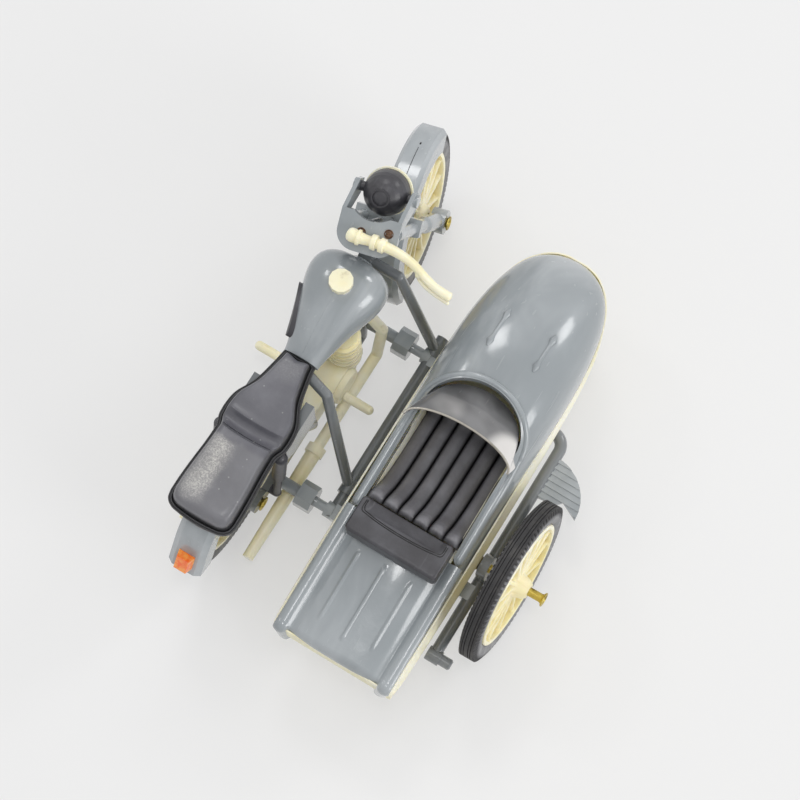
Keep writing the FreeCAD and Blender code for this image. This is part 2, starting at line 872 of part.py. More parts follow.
def saddle_half(start_y, length, height, length_shares, width_shares, height_shares, half_width):
    """One rounded length of the saddle, mirrored below its base so it can be cut flat."""
    rings = []
    for along, wide, tall in zip(length_shares, width_shares, height_shares):
        rise = height * tall
        rings.append(rounded_section(0.0, start_y + length * along, half_width * wide, seat_z - rise, seat_z,
                                     seat_z + rise, saddle_round_share, saddle_round_share))
    return Part.makeLoft(rings, True, False)


def seat():
    """One long saddle: narrow nose, a step, and a wide rear half on a flange."""
    front_y = tank_rear_y - saddle_nose_gap
    rear = saddle_half(saddle_rear_y, saddle_step_y - saddle_rear_y, saddle_rear_height,
                       saddle_rear_length_shares, saddle_rear_width_shares, saddle_rear_height_shares,
                       saddle_half_width)
    start = saddle_step_y - saddle_overlap
    front = saddle_half(start, front_y - saddle_lip - start, saddle_front_height,
                        saddle_front_length_shares, saddle_front_width_shares, saddle_front_height_shares,
                        saddle_half_width)
    cushion_form = rear.fuse(front)
    keep = box(-far_away, far_away, -far_away, far_away, seat_z, far_away)
    cushion_form = cushion_form.common(keep)
    outline = []
    for along, wide in zip(saddle_rear_length_shares, saddle_rear_width_shares):
        outline.append((saddle_half_width * wide + saddle_lip, mix(saddle_rear_y, saddle_step_y, along)))
    for along, wide in list(zip(saddle_front_length_shares, saddle_front_width_shares))[1:]:
        outline.append((saddle_half_width * wide + saddle_lip, mix(start, front_y, along)))
    outline[0] = (outline[0][0], outline[0][1] - saddle_lip)
    corners = [(-x, y, seat_z) for x, y in outline] + [(x, y, seat_z) for x, y in reversed(outline)]
    flange = polygon_face(corners).extrude(V(0, 0, saddle_flange))
    half = rear_guard_half_width + seat_gap
    guard_room = rod((-half, 0.0, axle_z), (half, 0.0, axle_z), guard_outer_radius + seat_gap)
    return cushion_form.fuse(flange).cut(guard_room)


def tail_lamp():
    """The orange rear lamp on the guard's tail."""
    half = tail_lamp_half_width
    r = guard_outer_radius + seat_gap
    section = [(-half, r), (half, r), (half * (1.0 - quarter_share), r + tail_lamp_height),
               (-half * (1.0 - quarter_share), r + tail_lamp_height)]
    face = polygon_face([(x, at, axle_z) for x, at in section])
    point = V(0, 0, axle_z)
    face.rotate(point, V(1, 0, 0), rear_guard_back_deg)
    a = math.radians(rear_guard_back_deg)
    start = rear_tail_length * tail_lamp_place_share - tail_lamp_length * half_share
    face.translate(V(0, -math.sin(a) * start, math.cos(a) * start))
    return face.extrude(V(0, -math.sin(a) * tail_lamp_length, math.cos(a) * tail_lamp_length))


def axis_point(up):
    """The (y, z) of a point on the steering axis."""
    return steer_y - up * rake_sin, steer_z + up * rake_cos


def frame():
    """Head tube, backbone, cradle, seat rails and rear arms as one moulding."""
    head_low = yoke_high + head_gap
    parts = [tilted_rod(0.0, head_low, -head_gap - seat_gap, head_radius)]
    w = backbone_half_width
    join_y = wheelbase * rail_join_share
    low_y, low_z = axis_point(head_low + head_radius * half_share)
    high_y, high_z = axis_point(head_low + gusset_rise)
    under = backbone_top_z - backbone_height
    nose_y = tank_front_y + seat_gap
    outline = [(-w, join_y, under), (-w, nose_y, under), (-w, low_y, low_z), (-w, high_y, high_z),
               (-w, nose_y, mix(backbone_top_z, high_z, quarter_share)), (-w, nose_y, backbone_top_z),
               (-w, join_y, backbone_top_z)]
    parts.append(polygon_face(outline).extrude(V(w + w, 0, 0)))
    cradle_rear_y = rear_clear_y + cradle_rear_gap
    front_y = wheelbase * rail_front_share
    rear_y = -wheelbase * rail_rear_share
    inner = hub_half_width + arm_gap
    outer = inner + arm_thickness
    for side in (-1.0, 1.0):
        hip = (side * rail_x, cradle_rear_y - cradle_hip_back, cradle_ground + cradle_hip_rise)
        corner = (side * rail_x, front_y, rail_z)
        parts.append(tube_path([
            (0.0, nose_y + backbone_half_width, under + cradle_radius),
            (side * cradle_x, cradle_front_y, cradle_ground),
            (side * cradle_x, cradle_rear_y, cradle_ground),
            hip,
            corner,
        ], cradle_radius))
        parts.append(tube_path([(0.0, join_y, rail_z), corner, (side * rail_x, rear_y, rail_z)], rail_radius))
        x0 = min(side * inner, side * outer)
        x1 = max(side * inner, side * outer)
        parts.append(box(x0, x1, eye_radius * half_share, wheelbase * arm_length_share, axle_z - arm_height,
                         axle_z + arm_thickness * quarter_share))
        parts.append(rod((x0, 0.0, axle_z), (x1, 0.0, axle_z), eye_radius))
    hang = cross_thick_radius + cross_thick_radius * half_share
    parts.append(box(inner, outer, cross_rear_y - hang, cross_rear_y + hang, chassis_z - cross_thick_radius,
                     axle_z - arm_height * half_share))
    whole = parts[0].fuse(parts[1:])
    bore = stem_radius + stem_bore_gap
    whole = whole.cut(tilted_rod(0.0, yoke_low - head_radius, head_radius, bore))
    flat = box(-far_away, far_away, -far_away, tank_rear_y, seat_z - seat_gap, far_away)
    return whole.cut(flat).cut(rod((-far_away, 0.0, axle_z), (far_away, 0.0, axle_z), pin_radius + seat_gap))


def engine():
    """Crankcase and gearbox with round side covers."""
    z = engine_z
    parts = [rod((-crank_half_width, crank_y, z), (crank_half_width, crank_y, z), crank_radius)]
    parts.append(rod((-gear_half_width, gear_y, z), (gear_half_width, gear_y, z), gear_radius))
    parts.append(box(-gear_half_width, gear_half_width, gear_y, crank_y, z - gear_radius, z + gear_radius))
    parts.append(box(-crank_half_width, crank_half_width, barrel_y - barrel_radius, barrel_y + barrel_radius,
                     z, z + barrel_deck_rise))
    for side in (-1.0, 1.0):
        inner = side * crank_half_width
        outer = side * (crank_half_width + cover_height)
        wide = cover_radius + cover_height * half_share
        parts.append(cone((inner, crank_y, z), (outer, crank_y, z), wide, cover_radius))
    return fused(parts)


def cylinder(side):
    """One finned barrel and head."""
    x = side * barrel_x
    low = engine_z + barrel_deck_rise
    height = tank_base_z - barrel_top_gap - low
    pitch = height / fin_count
    profile = [(0.0, 0.0)]
    for i in range(fin_count):
        a = pitch * i
        b = a + pitch * fin_share
        profile += [(fin_radius, a), (fin_radius, b), (barrel_radius, b), (barrel_radius, a + pitch)]
    profile += [(0.0, height)]
    whole = turned(profile, (x, barrel_y, low), (0, 0, 1))
    half = box(min(0.0, side * far_away), max(0.0, side * far_away), 0.0, far_away, 0.0, far_away)
    return whole.common(half)


def exhaust(side):
    """A pipe from the barrel's front, down and back into a tapered muffler."""
    x = side * pipe_x
    low = axle_z - pipe_drop
    base = engine_z + barrel_deck_rise
    port_z = mix(tank_base_z - barrel_top_gap, base, pipe_port_drop_share)
    knee_z = mix(port_z, low, pipe_knee_share)
    front_y = pipe_front_y
    low_y = mix(front_y, barrel_y + fin_radius, half_share)
    port_x = side * barrel_x
    points = [(port_x, barrel_y + barrel_radius * half_share, port_z), (port_x, front_y, port_z),
              (x, front_y, knee_z), (x, low_y, low), (x, muffler_front_y, low)]
    pipe = tube_path(points, pipe_radius)
    muffler = cone((x, muffler_front_y, low), (x, muffler_rear_y, low - muffler_fall), muffler_radius,
                   muffler_end_radius)
    joint = rod((x, muffler_front_y - joint_length * half_share, low),
                (x, muffler_front_y + joint_length * half_share, low), joint_radius)
    return fused([pipe, muffler, joint])


def foot_peg(side):
    """A peg turned with a rounded end, standing out from the crankcase."""
    inner = crank_half_width + cover_height + seat_gap
    r = peg_radius
    profile = [(0.0, 0.0), (r, 0.0), (r, peg_length - r)]
    steps = 4
    for i in range(1, steps + 1):
        a = math.radians(quarter_turn_deg * i / steps)
        profile.append((r * math.cos(a), peg_length - r + r * math.sin(a)))
    return turned(profile, (side * inner, peg_y, peg_z), (side, 0, 0))


def rear_shock(side):
    """A closed rear spring unit between the axle eye and the seat rail."""
    face = hub_half_width + arm_gap + arm_thickness
    x = side * (face + shock_rod_radius + shock_stand_off)
    low = (x, shock_low_lead, axle_z - shock_low_drop)
    high = (x, shock_high_lead, rail_z - shock_high_drop)
    middle = tuple((a + b) * half_share for a, b in zip(low, high))
    low_eye = rod((side * face, low[1], low[2]), low, shock_eye_radius)
    high_eye = rod((side * rail_x, high[1], high[2]), high, shock_eye_radius)
    ends = [ball(low, shock_eye_radius), ball(high, shock_eye_radius)]
    coil = rod(middle, high, shock_coil_radius)
    return fused([rod(low, high, shock_rod_radius), coil, low_eye, high_eye] + ends)


def toolbox(side):
    """A slim box hung under a seat rail, below the saddle's nose."""
    x0 = rail_x - quarter_share * rail_radius
    front = wheelbase * rail_join_share - toolbox_front_gap
    top = rail_z - rail_radius - seat_gap
    low = top - toolbox_height
    x = side * x0
    rear = front - toolbox_length
    corners = [(x, front, low), (x, front, top), (x, rear, top),
               (x, rear, low + toolbox_slope), (x, rear + toolbox_slope, low)]
    return polygon_face(corners).extrude(V(side * toolbox_width, 0, 0))


# sidecar chassis
def side_leaned(shape):
    """A shape drawn upright, leaned inwards with the sidecar wheel about the wheel's middle."""
    shape.rotate(V(side_wheel_x, side_wheel_y, side_axle_z), V(0, 1, 0), -side_wheel_lean_deg)
    return shape


def left_chassis_tube():
    """The inner fore and aft tube."""
    return rod((left_tube_x, left_tube_rear_y, chassis_z), (left_tube_x, left_tube_front_y, chassis_z),
               chassis_tube_radius)


def right_chassis_tube():
    """The outer tube with its rear stub and the upright that holds the wheel pin."""
    r = chassis_tube_radius
    x = right_tube_x
    tube = bent_tube([(x, right_tube_rear_y, chassis_z), (x, right_tube_front_y, chassis_z),
                      (x - right_tube_return, right_tube_front_y, chassis_z)], r, bend_radius)
    shoulder = stub_pin_start_x
    start = x - stub_boss_length * half_share
    nose = r * quarter_share
    profile = [(0.0, 0.0), (stub_boss_radius, 0.0), (stub_boss_radius, shoulder - start),
               (stub_pin_radius, shoulder - start), (stub_pin_radius, stub_pin_end_x - start - nose),
               (stub_pin_radius - nose, stub_pin_end_x - start), (0.0, stub_pin_end_x - start)]
    stub = turned(profile, (start, right_tube_rear_y, chassis_z), (1, 0, 0))
    half = axle_block_depth * half_share
    w = axle_block_width * half_share
    block = box(x - w, x + w, side_wheel_y - half, side_wheel_y + half, chassis_z, side_axle_z)
    crown_block = rod((x - w, side_wheel_y, side_axle_z), (x + w, side_wheel_y, side_axle_z), half)
    bore = rod((0.0, side_wheel_y, side_axle_z), (far_away, side_wheel_y, side_axle_z), pin_radius + seat_gap)
    upright = side_leaned(block.fuse(crown_block))
    return fused([tube, stub, upright]).cut(side_leaned(bore))


def chassis_bar(y, x_end):
    """A flat bar under the hull from tube to tube."""
    half = bar_depth * half_share
    return box(left_tube_x, x_end, y - half, y + half, chassis_z - bar_height * half_share,
               hull_low_z - seat_gap)


def cross_tube(y, x_inner):
    """A stepped tube from the motorcycle to the sidecar, with a square collar."""
    half = collar_length * half_share
    profile = [(0.0, 0.0), (cross_thick_radius, 0.0), (cross_thick_radius, collar_x - x_inner),
               (cross_thin_radius, collar_x + half + collar_step - x_inner),
               (cross_thin_radius, left_tube_x - x_inner), (0.0, left_tube_x - x_inner)]
    bar = turned(profile, (x_inner, y, chassis_z), (1, 0, 0))
    a = collar_across * half_share
    collar = box(collar_x - half, collar_x + half, y - a, y + a, chassis_z - a, chassis_z + a)
    edges = [e for e in collar.Edges if e.BoundBox.XLength > collar_length * half_share]
    collar = collar.makeChamfer(collar_cut, edges)
    boss = rod((left_tube_x - foot_boss_radius, y, chassis_z), (left_tube_x, y, chassis_z), foot_boss_radius)
    return fused([bar, collar, boss])


def strut_front():
    """The upper strut from the frame's head to the sidecar's inner tube."""
    z = backbone_top_z - backbone_height
    y = steer_y - front_strut_top_back
    foot = (left_tube_x, front_strut_foot_y, chassis_z)
    bar = tube_path([(cradle_x * half_share, y, z), (front_strut_knee_x, y, z), foot], strut_radius)
    return fused([bar, rod((foot[0], foot[1] - foot_boss_radius, foot[2]),
                           (foot[0], foot[1] + foot_boss_radius, foot[2]), foot_boss_radius)])


def strut_rear():
    """The bent upper strut from the frame's back to the sidecar's inner tube."""
    z = tank_base_z - strut_radius - seat_gap
    foot = (left_tube_x, rear_strut_foot_y, chassis_z)
    bar = tube_path([(0.0, rear_strut_top_y, z), (rear_strut_knee_x, rear_strut_top_y - rear_strut_knee_back,
                     z - rear_strut_knee_drop), foot], strut_radius)
    return fused([bar, rod((foot[0], foot[1] - foot_boss_radius, foot[2]),
                           (foot[0], foot[1] + foot_boss_radius, foot[2]), foot_boss_radius)])


def step_plate():
    """The ribbed foot plate ahead of the wheel, its rear edge broken away."""
    x0 = right_tube_x
    root = side_wheel_y + wheel_radius + step_wheel_gap + step_length
    z = chassis_z - step_thickness * half_share
    points = []
    steps = 8
    for i in range(steps + 1):
        a = math.radians(quarter_turn_deg * i / steps)
        points.append((x0 + step_reach * math.sin(a), root - step_length * (1.0 - math.cos(a)), z))
    for out, back in step_break_shares:
        points.append((x0 + step_reach * out, root - step_length * back, z))
    plate = polygon_face(points).extrude(V(0, 0, step_thickness))
    tall = polygon_face(points).extrude(V(0, 0, step_thickness + step_rib_height))
    pitch = step_length / step_rib_count
    parts = [plate]
    for i in range(step_rib_count):
        y = root - pitch * (i + half_share)
        w = pitch * step_rib_share * half_share
        parts.append(tall.common(box(x0, x0 + step_reach, y - w, y + w, z, far_away)))
    return fused(parts)


# sidecar body
def hull_form(shrink, drop, tail_shrink, nose_shrink, floor):
    """The body's whole closed form, inset, lowered or raised as asked."""
    rings = []
    last = len(hull_station_shares) - 1
    for i in range(last + 1):
        y = hull_rear_y + hull_length * hull_station_shares[i]
        if i == 0:
            y += tail_shrink
        if i == last:
            y -= nose_shrink
        low = hull_low_z + hull_height * hull_belly_shares[i] - hull_sink
        high = hull_low_z + hull_height * hull_top_shares[i]
        waist = mix(low, high, hull_waist_share)
        rings.append(rounded_section(hull_x, y, hull_half_width * hull_width_shares[i] - shrink, low + floor,
                                     waist, high - drop, hull_low_round_share, hull_high_round_share))
    return Part.makeLoft(rings, True, False)


def slab(z0, z1):
    """The whole plan between two heights."""
    return box(-far_away, far_away, -far_away, far_away, z0, z1)


def cockpit_prism(grow, low):
    """The opening's plan as an upright prism with a round arched front."""
    w = cockpit_half_width + grow
    start = V(hull_x + w, cockpit_foot_y, low)
    top = V(hull_x, cockpit_apex_y + grow, low)
    end = V(hull_x - w, cockpit_foot_y, low)
    depth = cockpit_apex_y + grow - cockpit_foot_y
    right = Part.BezierCurve()
    right.setPoles([start, V(start.x, start.y + depth * arch_round_share, low),
                    V(hull_x + w * arch_round_share, top.y, low), top])
    left = Part.BezierCurve()
    left.setPoles([top, V(hull_x - w * arch_round_share, top.y, low),
                   V(end.x, end.y + depth * arch_round_share, low), end])
    rear_y = hull_rear_y - cut_overrun
    a = V(hull_x - w, rear_y, low)
    b = V(hull_x + w, rear_y, low)
    edges = [right.toShape(), left.toShape(), Part.LineSegment(end, a).toShape(),
             Part.LineSegment(a, b).toShape(), Part.LineSegment(b, start).toShape()]
    return Part.Face(Part.Wire(edges)).extrude(V(0, 0, hull_height + hull_height))


def tail_cut():
    """The round that hollows the tail's rear edge in plan."""
    h = tail_hollow
    w = hull_half_width
    r = (w * w + h * h) * half_share / h
    y = hull_rear_y + h - r
    return rod((hull_x, y, 0.0), (hull_x, y, far_away), r)


def hull_tub(outer, inner):
    """The cream lower tub with the thin liner walls that stand beside the seat."""
    shell = outer.cut(inner).common(slab(hull_low_z, hull_split_z)).cut(tail_cut())
    form = hull_form(hull_wall, liner_drop + hull_wall, 0.0, 0.0, 0.0)
    parts = [shell]
    for side in (-1.0, 1.0):
        a = hull_x + side * (cockpit_half_width - seat_gap)
        b = hull_x + side * (cockpit_half_width - seat_gap - liner_wall)
        floor = hull_low_z + hull_wall * half_share
        wall = box(min(a, b), max(a, b), arm_end_y, cockpit_foot_y, floor, far_away)
        parts.append(wall.common(form))
    return fused(parts)


def hull_cover(outer, inner):
    """The grey cowl with its two side arms, the arched opening and its raised lip."""
    shell = outer.cut(inner).common(slab(hull_split_z, far_away))
    skin = shell.cut(cockpit_prism(0.0, hull_split_z))
    raised = hull_form(0.0, -lip_height, 0.0, 0.0, 0.0)
    ring = cockpit_prism(lip_width, hull_split_z + hull_wall).cut(cockpit_prism(0.0, hull_split_z))
    band = box(-far_away, far_away, cockpit_foot_y - lip_run, far_away, 0.0, far_away)
    lip = raised.cut(inner).common(ring).common(band)
    whole = skin.fuse(lip)
    r = (hull_half_width - cockpit_half_width) * half_share
    y = arm_end_y + r
    keep = [box(-far_away, far_away, y, far_away, 0.0, far_away)]
    for side in (-1.0, 1.0):
        x = hull_x + side * (cockpit_half_width + r)
        keep.append(rod((x, y, 0.0), (x, y, far_away), r))
    return whole.common(keep[0].fuse(keep[1:]))


def rear_deck():
    """The grey tail deck: a crowned middle with three ribs between two rounded rails, open at the tail."""
    sunk = hull_form(deck_inset, deck_drop + deck_recess, 0.0, 0.0, 0.0)
    ribbed = hull_form(deck_inset, deck_drop + deck_recess - deck_rib_radius, 0.0, 0.0, 0.0)
    inside = hull_form(deck_inset + hull_wall, deck_drop + deck_recess + hull_wall, tail_hollow + hull_wall,
                       hull_wall, hull_sink + hull_wall)
    ribs = []
    for i in (-1.0, 0.0, 1.0):
        x = hull_x + i * deck_rib_spread
        left = x - deck_rib_radius
        right = x + deck_rib_radius
        ribs.append(box(left, right, deck_rib_rear_y, deck_rib_front_y, 0.0, far_away))
    body = sunk.fuse(ribbed.common(ribs[0].fuse(ribs[1:])))
    front = arm_end_y - seat_gap
    region = box(-far_away, far_away, -far_away, front, hull_split_z + seat_gap, far_away)
    body = body.cut(inside).cut(tail_cut())
    r = deck_rail_width * half_share
    off = hull_half_width - deck_inset - r
    rails = []
    for side in (-1.0, 1.0):
        stations = [hull_rear_y + r + (arm_end_y + r - hull_rear_y - r) * i / deck_rail_steps
                    for i in range(deck_rail_steps + 1)]
        path = [(hull_x + side * off, y, hull_top_at(y, off) - r) for y in stations]
        rails.append(tube_path(path, r))
    return fused([body] + rails).common(region)


def nose_handle(side):
    """A grab handle with spear ends lying along the nose."""
    x = hull_x + side * handle_x
    y0 = handle_rear_y
    y1 = y0 + handle_length
    z0 = hull_top_at(y0, handle_x) + handle_radius * half_share
    z1 = hull_top_at(y1, handle_x) + handle_radius * half_share
    tip = handle_length * handle_tip_share
    r = handle_radius
    t = handle_tip_radius
    slim = r * half_share
    length = math.sqrt((y1 - y0) * (y1 - y0) + (z1 - z0) * (z1 - z0))
    profile = [(0.0, 0.0), (slim, 0.0), (t, tip * half_share), (r, tip), (r, length - tip),
               (t, length - tip * half_share), (slim, length), (0.0, length)]
    return turned(profile, (x, y0, z0), (0.0, y1 - y0, z1 - z0))


def hull_top_at(y, off):
    """The height of the body's skin at a place off its middle line."""
    share = (y - hull_rear_y) / hull_length
    i = 0
    while hull_station_shares[i + 1] < share:
        i += 1
    t = (share - hull_station_shares[i]) / (hull_station_shares[i + 1] - hull_station_shares[i])
    half = hull_half_width * mix(hull_width_shares[i], hull_width_shares[i + 1], t)
    low = hull_low_z - hull_sink + hull_height * mix(hull_belly_shares[i], hull_belly_shares[i + 1], t)
    high = hull_low_z + hull_height * mix(hull_top_shares[i], hull_top_shares[i + 1], t)
    waist = mix(low, high, hull_waist_share)
    lower = 0.0
    upper = 1.0
    k = hull_high_round_share
    for step in range(24):
        s = (lower + upper) * half_share
        back = 1.0 - s
        x = half * (back ** 3 + 3 * s * back * back + 3 * s * s * back * k)
        if x > off:
            lower = s
        else:
            upper = s
    rise = 3 * s * back * back * k + 3 * s * s * back + s ** 3
    return waist + (high - waist) * rise


def cushion():
    """The sidecar seat: a base and a leaning back, gathered into rounded channels."""
    low = hull_low_z + hull_wall + seat_gap
    w = cushion_half_width
    z1 = low + cushion_rise
    z2 = low + cushion_bend_rise
    z3 = low + hull_height * cushion_top_share
    outline = [(cushion_front_y, low), (cushion_front_y, z1), (cushion_bend_y, z2), (cushion_top_y, z3),
               (cushion_top_y - cushion_thickness, z3), (cushion_top_y - cushion_thickness, low)]
    core = polygon_face([(hull_x - w, y, z) for y, z in outline]).extrude(V(w + w, 0, 0))
    pitch = (w + w) / channel_count
    r = (pitch * pitch * quarter_share + channel_bulge * channel_bulge) * half_share / channel_bulge
    parts = [core]
    for i in range(channel_count):
        x = hull_x - w + pitch * (i + half_share)
        sink = r - channel_bulge
        path = [(x, cushion_front_y, z1 - sink), (x, cushion_bend_y, z2 - sink), (x, cushion_top_y, z3)]
        a = V(*path[0])
        b = V(*path[1])
        run = (b - a).Length
        roll = Part.makeCylinder(r, run, a, b - a)
        left = x - pitch * half_share
        limit = box(left, left + pitch, cushion_bend_y, cushion_front_y, low, far_away)
        parts.append(roll.common(limit))
        lean = (V(*path[2]) - V(x, cushion_bend_y, z2))
        across = V(0, lean.z, -lean.y).normalize()
        base = V(x, cushion_bend_y, z2) - across * sink
        back_roll = Part.makeCylinder(r, lean.Length, base, lean)
        limit = box(x - pitch * half_share, x + pitch * half_share, -far_away, cushion_front_y, z2, z3)
        parts.append(back_roll.common(limit))
    rear = box(-far_away, far_away, cushion_top_y - cushion_thickness, cushion_front_y, low, z3)
    return fused([p.common(rear) for p in parts])


def head_rest():
    """The thick pad across the cockpit's back, its front edge chamfered."""
    w = cockpit_half_width - slip_gap - slip_gap
    c = rest_chamfer
    z0 = hull_low_z + hull_height * rest_low_share
    z1 = hull_low_z + hull_height * rest_high_share
    outline = [(rest_rear_y, z0), (rest_rear_y, z1 - c), (rest_rear_y + c, z1), (rest_front_y - c, z1),
               (rest_front_y, z1 - c), (rest_front_y, z0)]
    return polygon_face([(hull_x - w, y, z) for y, z in outline]).extrude(V(w + w, 0, 0))


def windscreen():
    """A low curved screen standing behind the cowl's lip."""
    def ring(half, depth, y, z):
        across = Part.Ellipse(V(0, 0, 0), half, depth)
        wire = Part.Wire([across.toShape()])
        wire.translate(V(hull_x, y, z))
        return wire

    low_z = hull_low_z + hull_height * screen_low_share
    high_z = low_z + screen_height
    depth = cockpit_apex_y - cockpit_foot_y - screen_low_back
    half = cockpit_half_width - screen_low_back
    bodies = []
    for wall in (0.0, screen_wall):
        low = ring(half - wall, depth - wall, cockpit_foot_y, low_z)
        high = ring(half * screen_high_width_share - wall, depth * screen_high_depth_share - wall,
                    cockpit_foot_y - screen_lean * half_share, high_z)
        bodies.append(Part.makeLoft([low, high], True, True))
    corners = [(0.0, cockpit_foot_y, low_z), (0.0, cockpit_foot_y - screen_lean * half_share, high_z),
               (0.0, far_away, high_z), (0.0, far_away, low_z)]
    front = polygon_face(corners).extrude(V(far_away, 0, 0))
    return bodies[0].cut(bodies[1]).common(front)


# each piece here is cut to the form of the pieces it rests on
seated_into = [
    ("tank_cap", ["tank"]),
    ("knee_pad", ["tank"]),
    ("engine", ["frame"]),
    ("cylinder_left", ["engine"]),
    ("cylinder_right", ["engine"]),
    ("exhaust_left", ["cylinder_left", "frame"]),
    ("exhaust_right", ["cylinder_right", "frame"]),
    ("shock_left", ["frame"]),
    ("shock_right", ["frame"]),
    ("toolbox_left", ["frame"]),
    ("toolbox_right", ["frame"]),
    ("chassis_bar_front", ["chassis_tube_left", "chassis_tube_right"]),
    ("chassis_bar_rear", ["chassis_tube_left", "chassis_tube_right"]),
    ("cross_tube_front", ["chassis_tube_left", "frame"]),
    ("cross_tube_rear", ["chassis_tube_left", "frame"]),
    ("strut_front", ["chassis_tube_left", "chassis_bar_front", "cross_tube_front", "frame"]),
    ("strut_rear", ["chassis_tube_left", "frame", "seat", "tank"]),
    ("step_plate", ["chassis_tube_right"]),
    ("cushion", ["hull_tub", "hull_cover", "rear_deck"]),
    ("head_rest", ["hull_cover", "rear_deck", "hull_tub", "cushion"]),
    ("nose_handle_left", ["hull_cover"]),
    ("nose_handle_right", ["hull_cover"]),
    ("windscreen", ["hull_cover"]),
]


def steered(shapes):
    """The steering pieces turned to their rest angle about the leaned axis."""
    point = V(0, steer_y, steer_z)
    axis = V(0, -rake_sin, rake_cos)
    out = {}
    for name, shape in shapes.items():
        copy = shape.copy()
        copy.rotate(point, axis, rest_steer_deg)
        out[name] = copy
    return out


def build():
    """Every piece by name, in the drawing frame."""
    rear_centre = (0.0, 0.0, axle_z)
    front_centre = (0.0, wheelbase, axle_z)
    side_centre = (side_wheel_x, side_wheel_y, side_axle_z)
    rear_pin_reach = hub_half_width + arm_gap + arm_thickness + seat_gap + pin_head_thickness
    outer = hull_form(0.0, 0.0, 0.0, 0.0, 0.0)
    inner = hull_form(hull_wall, hull_wall, tail_hollow + hull_wall, hull_wall, hull_sink + hull_wall)
    pieces = {
        "frame": frame(),
        "tank": tank_body(),
        "tank_cap": tank_cap(),
        "knee_pad": knee_pad(),
        "seat": seat(),
        "rear_mudguard": rear_mudguard(),
        "tail_lamp": tail_lamp(),
        "engine": engine(),
        "cylinder_left": cylinder(-1.0),
        "cylinder_right": cylinder(1.0),
        "exhaust_left": exhaust(-1.0),
        "exhaust_right": exhaust(1.0),
        "footpeg_left": foot_peg(-1.0),
        "footpeg_right": foot_peg(1.0),
        "shock_left": rear_shock(-1.0),
        "shock_right": rear_shock(1.0),
        "toolbox_right": toolbox(1.0),
        "toolbox_left": toolbox(-1.0),
        "rear_pin": rivet_pin(0.0, axle_z, -rear_pin_reach, rear_pin_reach, True),
        "chassis_tube_left": left_chassis_tube(),
        "chassis_tube_right": right_chassis_tube(),
        "chassis_bar_front": chassis_bar(right_tube_front_y, right_tube_x - right_tube_return),
        "chassis_bar_rear": chassis_bar(cross_rear_y, right_tube_x),
        "cross_tube_front": cross_tube(cross_front_y, cross_inner_x),
        "cross_tube_rear": cross_tube(cross_rear_y, hub_half_width + arm_gap + arm_thickness + seat_gap),
        "strut_front": strut_front(),
        "strut_rear": strut_rear(),
        "step_plate": step_plate(),
        "side_pin": side_leaned(rivet_pin(side_wheel_y, side_axle_z, side_wheel_x - side_pin_in,
                                          side_wheel_x + side_pin_out, True)),
        "cushion": cushion(),
        "head_rest": head_rest(),
        "windscreen": windscreen(),
        "nose_handle_left": nose_handle(-1.0),
        "nose_handle_right": nose_handle(1.0),
        "rear_tyre": tyre(rear_centre),
        "rear_rim": rim(rear_centre, hub_half_width),
        "side_tyre": side_leaned(tyre(side_centre)),
        "side_rim": side_leaned(rim(side_centre, side_hub_half_width)),
        "hull_tub": hull_tub(outer, inner),
        "hull_cover": hull_cover(outer, inner),
        "rear_deck": rear_deck(),
    }
    for name, others in seated_into:
        for other in others:
            pieces[name] = pieces[name].cut(pieces[other])
    steer = {
        "fork": fork(),
        "crown": crown(),
        "front_mudguard": front_mudguard(),
        "headlamp_shell": headlamp_shell(),
        "headlamp_rim": headlamp_rim(),
        "headlamp_glass": headlamp_glass(),
        "handlebar": handlebar(),
        "front_pin": rivet_pin(wheelbase, axle_z, -front_pin_half_length, front_pin_half_length, True),
        "front_tyre": tyre(front_centre),
        "front_rim": rim(front_centre, hub_half_width),
    }
    steer["fork"] = steer["fork"].cut(steer["crown"])
    pieces.update(steered(steer))
    return pieces


def footprint_shift(pieces):
    """The move that puts the middle of the footprint at the origin."""
    whole = Part.Compound(list(pieces.values())).optimalBoundingBox(False, False)
    mid_x = (whole.XMin + whole.XMax) * half_share
    mid_y = (whole.YMin + whole.YMax) * half_share
    return V(-mid_x, -mid_y, -whole.ZMin)


def main():
    """Build, place and write every piece."""
    pieces = build()
    shift = footprint_shift(pieces)
    os.makedirs("parts", exist_ok=True)
    for name, shape in pieces.items():
        placed = shape.copy()
        placed.translate(shift)
        placed.exportStep("parts/" + name + ".step")


if __name__ == "__main__":
    main()
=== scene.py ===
import json
import math

